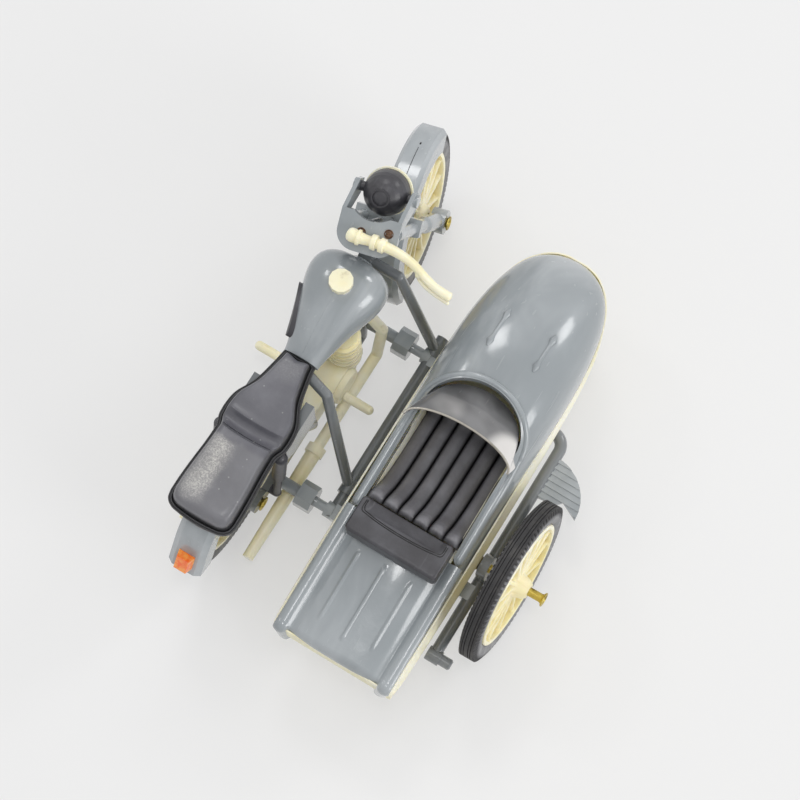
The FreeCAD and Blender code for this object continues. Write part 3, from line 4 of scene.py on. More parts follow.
import bmesh
import bpy
import numpy as np
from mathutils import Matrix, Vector

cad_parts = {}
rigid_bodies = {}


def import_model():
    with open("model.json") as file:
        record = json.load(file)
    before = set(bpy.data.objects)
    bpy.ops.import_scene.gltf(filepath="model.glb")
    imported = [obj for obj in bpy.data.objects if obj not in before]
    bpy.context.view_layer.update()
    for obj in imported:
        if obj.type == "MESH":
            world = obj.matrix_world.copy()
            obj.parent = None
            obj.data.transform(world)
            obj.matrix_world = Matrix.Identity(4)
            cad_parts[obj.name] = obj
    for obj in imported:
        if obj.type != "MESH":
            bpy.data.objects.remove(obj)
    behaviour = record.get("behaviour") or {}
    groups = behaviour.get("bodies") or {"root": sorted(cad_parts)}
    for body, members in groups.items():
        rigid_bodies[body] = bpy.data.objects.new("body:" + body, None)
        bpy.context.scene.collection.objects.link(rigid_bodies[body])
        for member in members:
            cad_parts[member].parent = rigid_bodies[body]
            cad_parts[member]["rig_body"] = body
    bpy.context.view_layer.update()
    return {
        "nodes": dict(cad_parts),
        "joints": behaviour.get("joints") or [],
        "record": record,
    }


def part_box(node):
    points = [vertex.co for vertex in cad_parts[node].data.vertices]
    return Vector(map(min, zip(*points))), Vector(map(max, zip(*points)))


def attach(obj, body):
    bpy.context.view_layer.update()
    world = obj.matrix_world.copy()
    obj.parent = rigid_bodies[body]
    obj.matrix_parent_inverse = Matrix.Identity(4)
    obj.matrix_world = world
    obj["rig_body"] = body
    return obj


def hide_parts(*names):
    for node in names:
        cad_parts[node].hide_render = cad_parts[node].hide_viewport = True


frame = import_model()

bl_info = {
    "name": "Toy sidecar outfit",
    "version": (1, 0, 0),
    "blender": (4, 5, 0),
    "location": "3D View > Sidebar > Sidecar",
    "description": "Dresses a moulded toy motorcycle and sidecar",
    "category": "Object",
}

NODES = frame["nodes"]
MM = 0.001
SCENE = bpy.context.scene
MAIN_BODY = "motorcycle_and_sidecar"
WHEELS = ("front", "rear", "side")
FINISHES = {}

# tones as a screen shows them, beside those that a user may change
TONES = {
    "grey speck": (0.24, 0.25, 0.26),
    "recess shade and yellowing": (0.84, 0.77, 0.48),
    "cream dirt": (0.62, 0.55, 0.40),
    "painted valley shade black": (0.06, 0.06, 0.065),
    "black rub": (0.46, 0.46, 0.48),
    "saddle deep": (0.34, 0.34, 0.365),
    "saddle pale": (0.42, 0.42, 0.445),
    "saddle flange shade": (0.19, 0.19, 0.20),
    "saddle rear": (0.50, 0.50, 0.50),
    "saddle nose": (0.66, 0.66, 0.66),
    "saddle reflection and scuff": (0.80, 0.79, 0.77),
    "saddle dots": (0.72, 0.72, 0.70),
    "seam": (0.07, 0.07, 0.075),
    "seam dust": (0.26, 0.26, 0.26),
    "tyre dust": (0.36, 0.35, 0.34),
    "tyre pores": (0.09, 0.09, 0.09),
    "tyre flank light and dust": (0.64, 0.64, 0.65),
    "brass bright": (0.80, 0.72, 0.38),
    "brass dull": (0.46, 0.39, 0.17),
    "smoke dark": (0.34, 0.34, 0.345),
    "smoke pale": (0.52, 0.52, 0.525),
    "smoke milk": (0.83, 0.82, 0.81),
    "edge pale": (0.66, 0.64, 0.60),
    "edge dull": (0.48, 0.46, 0.42),
    "rust dark": (0.24, 0.17, 0.13),
    "rust pale": (0.46, 0.34, 0.25),
    "orange deep": (0.98, 0.40, 0.08),
    "orange light": (1.0, 0.66, 0.30),
    "lens hollow": (0.80, 0.82, 0.82),
    "lens flute": (0.93, 0.94, 0.93),
    "paper": (0.91, 0.91, 0.91),
    "paper cloud": (0.905, 0.905, 0.905),
    "backdrop": (0.925, 0.925, 0.925),
}


# places and directions
def corners(node):
    """Lowest and highest corner of a node at rest, as arrays."""
    low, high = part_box(node)
    return np.array(low), np.array(high)


def middle(node):
    """Middle of a node's box at rest."""
    low, high = corners(node)
    return (low + high) / 2


def body_of(node):
    """The body that a node rides on."""
    return NODES[node]["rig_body"]


def unit(vector):
    """A vector, or each of many, made one long."""
    vector = np.array(vector, dtype=float)
    return vector / np.linalg.norm(vector, axis=-1, keepdims=True)


def pin_line(place):
    """The line that a wheel turns about, one long and pointing to the toy's right."""
    joint = next(j for j in frame["joints"] if j["name"] == place + "_wheel_spin")
    line = unit(joint["axis"])
    return line * np.sign(line[0])


def square_to(line):
    """The direction square to a line that points up as far as it can, or right for an upright line."""
    guide = np.array([0.0, 0.0, 1.0]) if abs(line[2]) < 0.9 else np.array([1.0, 0.0, 0.0])
    return unit(guide - line * (guide @ line))


def landed(node, x, y):
    """The highest place of a node over a point of the floor, and the way its surface faces there."""
    above = 0.2
    hit, place, facing, _ = NODES[node].ray_cast(Vector((x, y, above)), Vector((0.0, 0.0, -1.0)))
    if not hit:
        raise RuntimeError("nothing of " + node + " lies under the point")
    return np.array(place), np.array(facing)


# shader maths
class Value:
    """One socket of a node tree, with arithmetic that adds the tree's Math nodes."""

    def __init__(self, shading, socket):
        self.shading = shading
        self.socket = socket

    def _math(self, operation, *values):
        return self.shading.node("ShaderNodeMath", {"operation": operation}, values)

    def __add__(self, other):
        return self._math("ADD", self, other)

    def __radd__(self, other):
        return self._math("ADD", other, self)

    def __sub__(self, other):
        return self._math("SUBTRACT", self, other)

    def __rsub__(self, other):
        return self._math("SUBTRACT", other, self)

    def __mul__(self, other):
        return self._math("MULTIPLY", self, other)

    def __rmul__(self, other):
        return self._math("MULTIPLY", other, self)

    def clamped(self):
        """The value held between nought and one."""
        return self.shading.node("ShaderNodeClamp", {}, (self, 0.0, 1.0))

    def band(self, low, high):
        """Nought below low and one above high, with a smooth rise between them."""
        settings = {"interpolation_type": "SMOOTHSTEP"}
        return self.shading.node("ShaderNodeMapRange", settings, (self, low, high, 0.0, 1.0))


class Shading:
    """A node tree that is written as expressions."""

    def __init__(self, tree):
        self.tree = tree

    def outputs(self, kind, settings=None, values=()):
        """Adds one node: its settings first, then its sockets in order or by name; gives its outputs."""
        made = self.tree.nodes.new(kind)
        for key, value in (settings or {}).items():
            setattr(made, key, value)
        sockets = [s for s in made.inputs if s.enabled]
        if isinstance(values, dict):
            sockets = [made.inputs[name] for name in values]
            values = values.values()
        for socket, value in zip(sockets, values):
            self.feed(socket, value)
        return {s.name: Value(self, s) for s in made.outputs if s.enabled}

    def node(self, kind, settings, values, output=0):
        """Adds one node and gives one of its outputs, by its number."""
        return list(self.outputs(kind, settings, values).values())[output]

    def feed(self, socket, value):
        """Links a value to a socket, or sets the socket to a plain number or colour."""
        if isinstance(value, Value):
            self.tree.links.new(value.socket, socket)
        elif isinstance(value, tuple) and len(value) == 3 and socket.type == "RGBA":
            socket.default_value = (*value, 1.0)
        elif value is not None:
            socket.default_value = value

    def seen_directly(self):
        """One for rays from the camera and by mirrors and glass, nought for those that light the toy."""
        rays = self.outputs("ShaderNodeLightPath")
        return (rays["Is Camera Ray"] + rays["Is Glossy Ray"] + rays["Is Transmission Ray"]).clamped()

    def shaders_mixed(self, mask, under, over, output):
        """Ends the tree in a mix of two shaders."""
        mixed = self.node("ShaderNodeMixShader", {}, (mask, under, over))
        self.feed(self.tree.nodes[output].inputs["Surface"], mixed)


class Finish(Shading):
    """A material that ends in one plain shader."""

    def __init__(self, name, roughness=0.5, metallic=0.0, **constants):
        self.material = bpy.data.materials.new(name)
        self.material.use_nodes = True
        super().__init__(self.material.node_tree)
        self.shader = self.tree.nodes["Principled BSDF"]
        self.shader.inputs["Roughness"].default_value = roughness
        self.shader.inputs["Metallic"].default_value = metallic
        for socket, value in constants.items():
            self.shader.inputs[socket.replace("_", " ")].default_value = value
        self.place = self.outputs("ShaderNodeTexCoord")["Object"]

    def noise(self, scale, detail=3.0, roughness=0.5, at=None, swirl=0.0):
        """Cloudy values about one half; scale is in lumps per metre."""
        lacunarity = 2.0
        values = (at or self.place, scale, detail, roughness, lacunarity, swirl)
        return self.node("ShaderNodeTexNoise", {}, values)

    def streaks(self, scales, tilt, detail, roughness, swirl=0.0):
        """Noise drawn out by a scale for each direction, and turned about the upright."""
        at = self.node("ShaderNodeMapping", {}, (self.place, None, (0.0, 0.0, tilt), scales))
        return self.noise(1.0, detail, roughness, at, swirl)

    def cells(self, scale):
        """Distance to the nearest of many scattered points."""
        return self.node("ShaderNodeTexVoronoi", {"feature": "F1"}, (self.place, scale))

    def wave(self, scale, distortion=0.0, detail=0.0):
        """Parallel bands across the toy."""
        settings = {"wave_type": "BANDS", "bands_direction": "X"}
        return self.node("ShaderNodeTexWave", settings, (self.place, scale, distortion, detail), output=1)

    def parts(self):
        """The three parts of the place as values."""
        return list(self.outputs("ShaderNodeSeparateXYZ", {}, (self.place,)).values())

    def share(self, name):
        """A share that the mesh carries for each of its points."""
        return self.node("ShaderNodeAttribute", {"attribute_name": name}, (), output=2)

    def mix(self, mask, under, over):
        """The under colour where the mask is nought and the over colour where it is one."""
        settings = {"data_type": "RGBA", "blend_type": "MIX"}
        return self.node("ShaderNodeMix", settings, (mask, under, over))

    def spot(self, centre, radius, soft):
        """One inside a ball round a place, fading to nought at its edge."""
        distance = self.node("ShaderNodeVectorMath", {"operation": "DISTANCE"}, (self.place, centre))
        return 1.0 - distance.band(radius * (1.0 - soft), radius)

    def glow_for_camera(self, colour, share):
        """Mixes in a share of plain glow that lights nothing, so that shadows look soft."""
        glow = self.node("ShaderNodeEmission", {}, (colour,))
        plain = Value(self, self.shader.outputs[0])
        self.shaders_mixed(self.seen_directly() * share, plain, glow, "Material Output")

    def seen(self, colour, roughness=None, bump=None, bump_depth=0.0, alpha=None):
        """Feeds the shader's main sockets and gives the material."""
        inputs = self.shader.inputs
        self.feed(inputs["Base Color"], colour)
        self.feed(inputs["Roughness"], roughness)
        self.feed(inputs["Alpha"], alpha)
        if bump is not None:
            values = {"Strength": 1.0, "Distance": bump_depth, "Height": bump}
            self.feed(inputs["Normal"], self.node("ShaderNodeBump", {}, values))
        return self.material


def linear(colour):
    """A screen colour of three shares as the light it stands for."""
    shares = np.array(colour, dtype=float)
    return tuple(np.where(shares <= 0.04045, shares / 12.92, ((shares + 0.055) / 1.055) ** 2.4))


def tone(name):
    """The light that a named tone stands for."""
    return linear(TONES[name])


# surfaces
def sheet_faces(rows, columns, wrap_rows, wrap_columns):
    """Corner numbers of the four sided faces of a grid, wrapped where asked."""
    i = np.arange(rows if wrap_rows else rows - 1)
    j = np.arange(columns if wrap_columns else columns - 1)
    i, j = np.meshgrid(i, j, indexing="ij")
    up = (i + 1) % rows
    along = (j + 1) % columns
    faces = np.stack([i * columns + j, i * columns + along, up * columns + along, up * columns + j], axis=-1)
    return faces.reshape(-1, 4)


def stepped(value, low, high):
    """Nought below low and one above high with a smooth rise between, for whole arrays."""
    t = np.clip((value - low) / (high - low), 0, 1)
    return t * t * (3 - 2 * t)


def rotated(vector, axis, angles):
    """A vector turned about a unit axis by each of many angles."""
    axis = np.asarray(axis, dtype=float)
    vector = np.asarray(vector, dtype=float)
    cos = np.cos(angles)[..., None]
    sin = np.sin(angles)[..., None]
    return vector * cos + np.cross(axis, vector) * sin + axis * (axis @ vector) * (1 - cos)


def joined(grids, wraps):
    """Many grids as one list of points and one of faces, wrapped round rows and columns where asked."""
    points = []
    faces = []
    count = 0
    for grid in grids:
        points.append(grid.reshape(-1, 3))
        faces.append(sheet_faces(*grid.shape[:2], *wraps) + count)
        count += len(points[-1])
    return np.concatenate(points), np.concatenate(faces)


def turned_out(points, faces):
    """Faces of closed surfaces, flipped as one where their volume comes out negative."""
    a, b, c, d = (points[faces[:, k]] for k in range(4))
    volume = (np.cross(b - a, c - a) * a).sum() + (np.cross(c - a, d - a) * a).sum()
    return faces if volume > 0 else faces[:, ::-1]


def cubic(stations, values, at):
    """Smooth values at places between stations: cubics whose slopes there come from their neighbours."""
    x = np.asarray(stations, dtype=float)
    y = np.asarray(values, dtype=float)
    slope = np.gradient(y, x)
    i = np.clip(np.searchsorted(x, at) - 1, 0, len(x) - 2)
    h = x[i + 1] - x[i]
    t = (at - x[i]) / h
    a = 2 * t ** 3 - 3 * t ** 2 + 1
    b = t ** 3 - 2 * t ** 2 + t
    c = -2 * t ** 3 + 3 * t ** 2
    d = t ** 3 - t ** 2
    return a * y[i] + b * h * slope[i] + c * y[i + 1] + d * h * slope[i + 1]


def through(table, at, scale=1.0):
    """The smooth curve through a table of places and values, both in one scale."""
    stations, values = np.array(table).T * scale
    return cubic(stations, values, at)


def smooth_line(points, count):
    """A smooth line through a few points in millimetres, spaced by their number."""
    points = np.array(points)
    stops = np.linspace(0, 1, len(points))
    t = np.linspace(0, 1, count)
    return np.stack([cubic(stops, points[:, k], t) for k in range(3)], axis=-1) * MM


def runs(table):
    """Steps along a line: each run has a start, an end and a count, denser where a shape needs it."""
    return np.concatenate([np.linspace(*run) for run in table])


def domed(share, least=0.0):
    """The height of a quarter circle over its share, from nought at its foot to one.

    A least square keeps a tube's last ring from shrinking to a point.
    """
    return np.sqrt(np.clip(1 - (1 - np.clip(share, 0, 1)) ** 2, least, 1))


def tube_along(path, radii, sides):
    """A round tube carried along a path of points with a radius at each, in a frame that turns with it."""
    path = np.asarray(path, dtype=float)
    radii = np.broadcast_to(np.asarray(radii, dtype=float), (len(path),))
    ahead = unit(np.gradient(path, axis=0))
    steepest = abs(ahead[:, 2]).max()
    guide = np.array([0.0, 0.0, 1.0]) if steepest < 0.95 else np.array([1.0, 0.0, 0.0])
    side = unit(np.cross(ahead, guide))
    lift = np.cross(side, ahead)
    turn = np.linspace(0, 2 * np.pi, sides, endpoint=False)[None, :, None]
    ring = np.cos(turn) * side[:, None, :] + np.sin(turn) * lift[:, None, :]
    return path[:, None, :] + ring * radii[:, None, None]


def lathe(start, heading, profile, sides):
    """A profile of distance along a heading and radius, in millimetres, turned about that heading."""
    heading = unit(heading)
    out = rotated(square_to(heading), heading, np.linspace(0, 2 * np.pi, sides, endpoint=False))
    along, radius = np.array(profile).T[:, None, :, None] * MM
    return np.array(start) + heading * along + out[:, None, :] * radius


def end_caps(rows, columns):
    """Loops of corner numbers that close the first and the last row of a grid."""
    return [list(range(columns))[::-1], list(range((rows - 1) * columns, rows * columns))]


def fill_ends(mesh):
    """Closes the open ends of tubes with a flat face each and turns all faces outwards."""
    made = bmesh.new()
    made.from_mesh(mesh)
    bmesh.ops.holes_fill(made, edges=[e for e in made.edges if e.is_boundary], sides=0)
    bmesh.ops.recalc_face_normals(made, faces=made.faces)
    made.to_mesh(mesh)
    made.free()


def surface_piece(name, grids, body, finish, crease=None, wraps=(False, True), caps=(), fill=False,
                  stands_for=None):
    """A piece from grids of points, wrapped round their rows or columns, that rides on a body.

    Caps are loops of corner numbers that close an end, and fill closes every open end. Edges
    sharper than the crease, in degrees, stay crisp in the shading.
    """
    points, faces = joined(grids, wraps)
    mesh = bpy.data.meshes.new(name)
    mesh.from_pydata(points, [], [*turned_out(points, faces).tolist(), *caps])
    mesh.polygons.foreach_set("use_smooth", np.full(len(mesh.polygons), True))
    mesh.materials.append(FINISHES[finish])
    mesh.update()
    if fill:
        fill_ends(mesh)
    if crease is not None:
        mesh.set_sharp_from_angle(angle=math.radians(crease))
    piece = bpy.data.objects.new(name, mesh)
    SCENE.collection.objects.link(piece)
    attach(piece, body)
    if stands_for is not None:
        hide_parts(stands_for)
    return piece


def carry_share(piece, name, values):
    """Keeps a share for each point of a piece, for its finish to read."""
    attribute = piece.data.attributes.new(name, "FLOAT", "POINT")
    attribute.data.foreach_set("value", values.ravel().astype(np.float32))


# finishes
def grey_plastic(name, share=1.0):
    """Blue grey moulded plastic: pale flow streaks along the toy, small specks and a gently rippled gloss. A
    share under one darkens the whole copy: painted shade.
    """
    f = Finish(name, roughness=0.25, Coat_Weight=0.6, Coat_Roughness=0.10, IOR=1.52)
    colours = SCENE.toy_colours
    flow = f.streaks((60.0, 16.0, 40.0), 0.0, 4.0, 0.55, 0.6)
    cloud = f.noise(45.0)
    speck = 1.0 - f.cells(900.0).band(0.02, 0.09)
    # a share under one darkens the whole copy: painted shade
    deep = linear([part * share for part in colours.grey_deep])
    pale = linear([part * share for part in colours.grey_pale])
    base = f.mix(flow.band(0.35, 0.7), deep, pale)
    base = f.mix(cloud.band(0.55, 0.8) * 0.25 * share, base, linear(colours.grey_streak))
    base = f.mix(speck * cloud.band(0.5, 0.75) * 0.35, base, tone("grey speck"))
    scratch = f.streaks((900.0, 60.0, 900.0), 0.5, 2.0, 0.6).band(0.66, 0.72)
    rough = 0.17 + 0.10 * f.noise(120.0, 3.0, 0.6) + 0.12 * scratch
    ripple = f.noise(90.0, 2.0) + 0.09 * f.noise(1100.0, 3.0, 0.6)
    return f.seen(base, rough, ripple, bump_depth=0.22 * MM)


def cream_plastic(name, sunk=False, grime=0.35):
    """Ivory plastic yellowed in patches, with faint brown dirt, and darker and yellower where the mesh says
    sunk: painted shade with yellowing.
    """
    f = Finish(name, roughness=0.34, Coat_Weight=0.2, Coat_Roughness=0.15, IOR=1.48, Subsurface_Weight=0.3,
               Subsurface_Radius=(2.4 * MM, 2.0 * MM, 1.2 * MM), Subsurface_Scale=1.0)
    colours = SCENE.toy_colours
    aged = f.noise(38.0, 4.0, 0.6, swirl=0.4)
    base = f.mix(aged.band(0.3, 0.75), linear(colours.cream_pale), linear(colours.cream_aged))
    if sunk:
        # painted shade with yellowing in the recesses that the sunk share marks
        base = f.mix(f.share("sunk") * 0.85, base, tone("recess shade and yellowing"))
    dirt = f.noise(210.0, 4.0, 0.65).band(0.62, 0.78) * grime
    base = f.mix(dirt, base, tone("cream dirt"))
    rough = 0.28 + 0.16 * f.noise(300.0, 3.0, 0.6)
    fine = f.noise(700.0, 3.0, 0.6) * 0.4 + f.noise(90.0, 2.0)
    return f.seen(base, rough, fine, bump_depth=0.12 * MM)


def black_plastic(name, lift=0.0, sunk=False):
    """Near black satin plastic with fine grain and grey rub marks; a lift makes a lighter copy, painted
    light, and painted shade darkens it where the mesh says sunk.
    """
    f = Finish(name, roughness=0.4, Coat_Weight=0.1, Coat_Roughness=0.25, IOR=1.49)
    colours = SCENE.toy_colours
    cloud = f.noise(85.0, 4.0, 0.6)
    # a lift makes a lighter copy of the black: on the seat it is painted light on the channel tops
    deep = linear([share + lift for share in colours.black_deep])
    worn = linear([share + lift for share in colours.black_worn])
    base = f.mix(cloud.band(0.35, 0.75), deep, worn)
    if sunk:
        # painted shade: darker where the mesh's sunk share is high
        base = f.mix(f.share("sunk").band(0.25, 0.95), base, tone("painted valley shade black"))
    rub = f.streaks((420.0, 90.0, 420.0), 0.3, 3.0, 0.65).band(0.6, 0.75)
    base = f.mix(rub * 0.22, base, tone("black rub"))
    rough = 0.30 + 0.18 * f.noise(240.0, 3.0, 0.6) + 0.1 * rub
    grain = f.noise(1500.0, 3.0, 0.7) * 0.5 + f.noise(110.0, 2.0)
    return f.seen(base, rough, grain, bump_depth=0.12 * MM)


def saddle_plastic():
    """The saddle's black plastic: grey blue and satin, paler on the nose, and whitish with fine scuff specks
    over the left half of the rear seat, up to a straight edge down the middle: a painted reflection
    with the scuffing in it."""
    f = Finish("saddle_plastic", roughness=0.36, Coat_Weight=0.25, Coat_Roughness=0.2, IOR=1.5)
    low, high = corners("seat")
    middle_x = (low[0] + high[0]) / 2
    x, y, z = f.parts()
    waver = 5.0 * MM
    wobble = f.noise(160.0, 3.0, 0.6) * waver - waver / 2
    x = x + wobble
    y = y + wobble
    raised = z.band(low[2] + 2.2 * MM, low[2] + 4.2 * MM)
    top = z.band(high[2] - 2.4 * MM, high[2] - 0.8 * MM)
    rear = 1.0 - y.band(low[1] + 18.5 * MM, low[1] + 20.5 * MM)
    left = 1.0 - x.band(middle_x - 3.0 * MM, middle_x + 0.6 * MM)
    inner_x = x.band(low[0] + 1.0 * MM, low[0] + 6.2 * MM)
    inner = inner_x * y.band(low[1] + 1.0 * MM, low[1] + 7.0 * MM)
    nose = y.band(high[1] - 8.5 * MM, high[1] - 3.0 * MM)
    grain = f.noise(2400.0, 4.0, 0.75)
    speck = grain.band(0.40, 0.70)
    base = f.mix(f.noise(85.0, 4.0, 0.6).band(0.35, 0.75), tone("saddle deep"), tone("saddle pale"))
    # painted shade: the low flange round the saddle's foot is darker
    base = f.mix(1.0 - raised, base, tone("saddle flange shade"))
    base = f.mix(rear * top * 0.25, base, tone("saddle rear"))
    base = f.mix(nose * top * (0.35 + 0.5 * speck) * 0.7, base, tone("saddle nose"))
    # painted reflection over the left half of the rear seat, up to a straight edge, flecked with scuff specks
    reflection_and_scuff = rear * left * inner * top
    base = f.mix((reflection_and_scuff * (0.30 + 0.65 * speck)).clamped(), base, tone("saddle reflection and scuff"))
    dots = 1.0 - f.cells(420.0).band(0.05, 0.11)
    base = f.mix(dots * raised * 0.35, base, tone("saddle dots"))
    rough = 0.30 + 0.2 * f.noise(240.0, 3.0, 0.6) + 0.18 * reflection_and_scuff
    return f.seen(base, rough, grain * 0.5 + f.noise(110.0, 2.0), bump_depth=0.12 * MM)


def seam_line():
    """The dark line that dirt leaves along a seam."""
    f = Finish("seam_line", roughness=0.6, IOR=1.45)
    dust = f.noise(500.0, 3.0, 0.6).band(0.5, 0.75)
    return f.seen(f.mix(dust, tone("seam"), tone("seam dust")), 0.5 + 0.2 * dust)


def tyre_rubber():
    """Dull grey black rubber with dust in its pores, and paler flanks: painted light flecked with dust."""
    f = Finish("tyre", roughness=0.62, IOR=1.5)
    dust = f.noise(260.0, 4.0, 0.65).band(0.45, 0.75)
    pores = f.noise(1400.0, 3.0, 0.6).band(0.4, 0.7)
    base = f.mix(dust * 0.5, linear(SCENE.toy_colours.rubber), tone("tyre dust"))
    base = f.mix(pores * 0.35, base, tone("tyre pores"))
    # painted light on the flanks, flecked with dust
    base = f.mix(f.share("flank") * (0.5 + 0.35 * dust), base, tone("tyre flank light and dust"))
    rough = 0.52 + 0.2 * f.noise(500.0, 3.0, 0.6)
    return f.seen(base, rough, f.noise(2200.0, 3.0, 0.7), bump_depth=0.06 * MM)


def brass():
    """Worn yellow brass with dull brown patches and turning marks."""
    f = Finish("brass", roughness=0.3, metallic=1.0)
    worn = f.noise(420.0, 4.0, 0.6)
    base = f.mix(worn.band(0.45, 0.7), tone("brass bright"), tone("brass dull"))
    return f.seen(base, 0.2 + 0.3 * worn, f.wave(2600.0, 1.0, 2.0), bump_depth=0.01 * MM)


def smoky_clear():
    """Thin smoky plastic: clouded in the middle, milky at the right end and in a patch on the left."""
    f = Finish("smoke_clear", roughness=0.12, Coat_Weight=0.4, Coat_Roughness=0.05, IOR=1.49)
    low, high = corners("windscreen")
    right = f.spot((high[0] - 2.0 * MM, low[1] + 3.5 * MM, high[2] - 1.5 * MM), 8.5 * MM, 0.45)
    left = f.spot((low[0] + 9.0 * MM, low[1] + 7.5 * MM, high[2] - 1.0 * MM), 5.5 * MM, 0.6)
    haze = f.noise(55.0, swirl=0.3)
    milk = (right + left * 0.3 * haze.band(0.3, 0.6)).clamped()
    base = f.mix(haze.band(0.35, 0.7), tone("smoke dark"), tone("smoke pale"))
    base = f.mix(milk, base, tone("smoke milk"))
    cover = 0.80 + 0.12 * haze.band(0.35, 0.7) + 0.2 * milk
    scratch = f.streaks((900.0, 90.0, 300.0), 0.7, 3.0, 0.6).band(0.64, 0.72)
    return f.seen(base, 0.1 + 0.2 * scratch, f.noise(60.0, 2.0), bump_depth=0.1 * MM, alpha=cover.clamped())


def screen_edge():
    """The windscreen's cut edge, which gathers a warm pale light."""
    f = Finish("screen_edge", roughness=0.25, Coat_Weight=0.3, Coat_Roughness=0.1, IOR=1.49)
    dull = f.noise(180.0, 3.0, 0.6).band(0.4, 0.7)
    return f.seen(f.mix(dull, tone("edge pale"), tone("edge dull")), 0.2 + 0.2 * dull)


def rusty_steel():
    """Steel screw heads under dull brown rust."""
    f = Finish("rusty_steel", roughness=0.7, IOR=1.5)
    crust = f.noise(900.0, 4.0, 0.7)
    base = f.mix(crust.band(0.35, 0.65), tone("rust dark"), tone("rust pale"))
    return f.seen(base, 0.55 + 0.3 * crust, crust, bump_depth=0.1 * MM)


def orange_clear():
    """Orange plastic with brighter clouds inside."""
    f = Finish("orange_clear", roughness=0.2, Coat_Weight=0.4, Coat_Roughness=0.1, IOR=1.49)
    glow = f.noise(600.0, 3.0, 0.6)
    base = f.mix(glow.band(0.35, 0.7), tone("orange deep"), tone("orange light"))
    return f.seen(base, 0.16 + 0.15 * glow, f.noise(300.0, 2.0), bump_depth=0.1 * MM)


def lens_clear():
    """Lamp glass with fine upright flutes."""
    f = Finish("lens_clear", roughness=0.06, Coat_Weight=0.5, Coat_Roughness=0.04, IOR=1.5)
    flutes = f.wave(900.0)
    base = f.mix(flutes * 0.5, tone("lens hollow"), tone("lens flute"))
    return f.seen(base, 0.05 + 0.05 * flutes, flutes, bump_depth=0.12 * MM)


# tyres
# half a tyre's section: share of its half width, share of the way from bead to tread, share of a slot
TYRE_SIDE = ((-0.66, 0.0, 0.0), (-0.80, 0.08, 0.0), (-0.93, 0.26, 0.0), (-1.0, 0.5, 0.0),
             (-0.985, 0.66, 0.55), (-0.93, 0.75, 1.0), (-0.80, 0.93, 0.8))
TREAD_SHARE = 0.74
GROOVE_LINES = (-0.66, -0.32, 0.32, 0.66)
# across a groove in millimetres, and one at its brim or nought at its foot
GROOVE_EDGE = ((-0.11, 1.0), (-0.05, 0.0), (0.05, 0.0), (0.11, 1.0))
# along one shoulder block: share of its length, and one where the slot is cut
SLOT_STEPS = ((0.0, 0.0), (0.08, 1.0), (0.5, 1.0), (0.58, 0.0))
SLOT_NARROWS = 0.5
# how far under the tread the pale flank, painted light with dust, ends
FLANK_FROM, FLANK_TO = 1.9 * MM, 1.2 * MM


def tyre_piece(place):
    """A tyre: a closed profile of across and radius turned about the wheel's own pin.

    The tread keeps a wide middle band and narrow ribs between four narrow grooves.
    Each shoulder is cut by slots: a slot share from nought to one along the turn pulls the
    shoulder's points inward by the slot's depth.
    """
    sizes = SCENE.toy_sizes
    line = pin_line(place)
    half = sizes.tyre_width / 2
    radius = sizes.wheel_radius
    tread = half * TREAD_SHARE
    across, reach, slots = np.array(TYRE_SIDE).T
    across = across * half
    side = sizes.rim_radius + (radius - sizes.rim_radius) * reach
    edge = np.array([(rib * tread + step * MM, brim) for rib in GROOVE_LINES for step, brim in GROOVE_EDGE])
    edge_r = radius - sizes.groove_depth + sizes.groove_depth * edge[:, 1]
    section_x = np.concatenate([across, [-tread], edge[:, 0], [tread], -across[::-1]])
    section_r = np.concatenate([side, [radius], edge_r, [radius], side[::-1]])
    section_slot = np.concatenate([slots, np.zeros(len(edge) + 2), slots[::-1]])
    count = sizes.shoulder_blocks
    steps, cut = np.array(SLOT_STEPS).T
    turn = (np.arange(count)[:, None] + steps).ravel() / count * 2 * np.pi
    depth = np.tile(cut, count)[:, None] * section_slot * sizes.slot_depth
    x = section_x - np.sign(section_x) * depth * SLOT_NARROWS
    r = section_r - depth
    out = rotated(square_to(line), line, turn)
    grid = middle(place + "_rim") + line * x[..., None] + out[:, None, :] * r[..., None]
    node = place + "_tyre"
    piece = surface_piece(place + "_ribbed_tyre", [grid], body_of(node), "tyre", 32.0, (True, True),
                          stands_for=node)
    carry_share(piece, "flank", 1 - stepped(r, radius - FLANK_FROM, radius - FLANK_TO))


# seats
# the saddle in millimetres: how far behind its front, and half its width there
SADDLE_OUTLINE = (
    (0.0, 3.3), (0.06, 3.8), (0.3, 4.15), (1.2, 4.45), (3.0, 4.75), (5.2, 5.2), (8.2, 5.85), (10.6, 6.6),
    (12.6, 7.6), (14.0, 8.35), (15.6, 8.95), (17.6, 9.25), (20.2, 9.3), (21.8, 9.1), (23.0, 8.6),
    (24.0, 8.3), (26.0, 8.25), (29.0, 8.35), (33.0, 8.65), (37.0, 8.9), (41.0, 9.0), (43.6, 8.85),
    (45.0, 8.3), (45.9, 7.2), (46.35, 6.0), (46.6, 4.4))
SADDLE_ROWS = ((0, 1.2, 9), (1.5, 18.0, 52), (18.1, 25.6, 84), (25.9, 43.2, 50), (43.4, 46.6, 26))
# how high its top is there, over the foot, and the same without the ridge and the hollow
SADDLE_TOP = (
    (-1.0, 3.3), (0.0, 3.5), (1.6, 4.1), (4.0, 4.35), (9.0, 4.4), (15.0, 4.45), (18.0, 4.6), (18.7, 4.75),
    (18.95, 4.85), (19.2, 4.6), (19.6, 4.1), (20.6, 3.45), (21.8, 3.6), (22.7, 4.4), (22.95, 4.75),
    (23.1, 4.5), (23.25, 4.55), (23.4, 5.45), (23.7, 5.35), (24.2, 5.45), (26.0, 5.75), (34.0, 5.85),
    (42.0, 5.8), (44.5, 5.5), (47.5, 5.2))
SADDLE_STEADY = ((-1.0, 3.9), (0.0, 4.0), (20.0, 4.5), (26.0, 5.4), (47.5, 5.6))
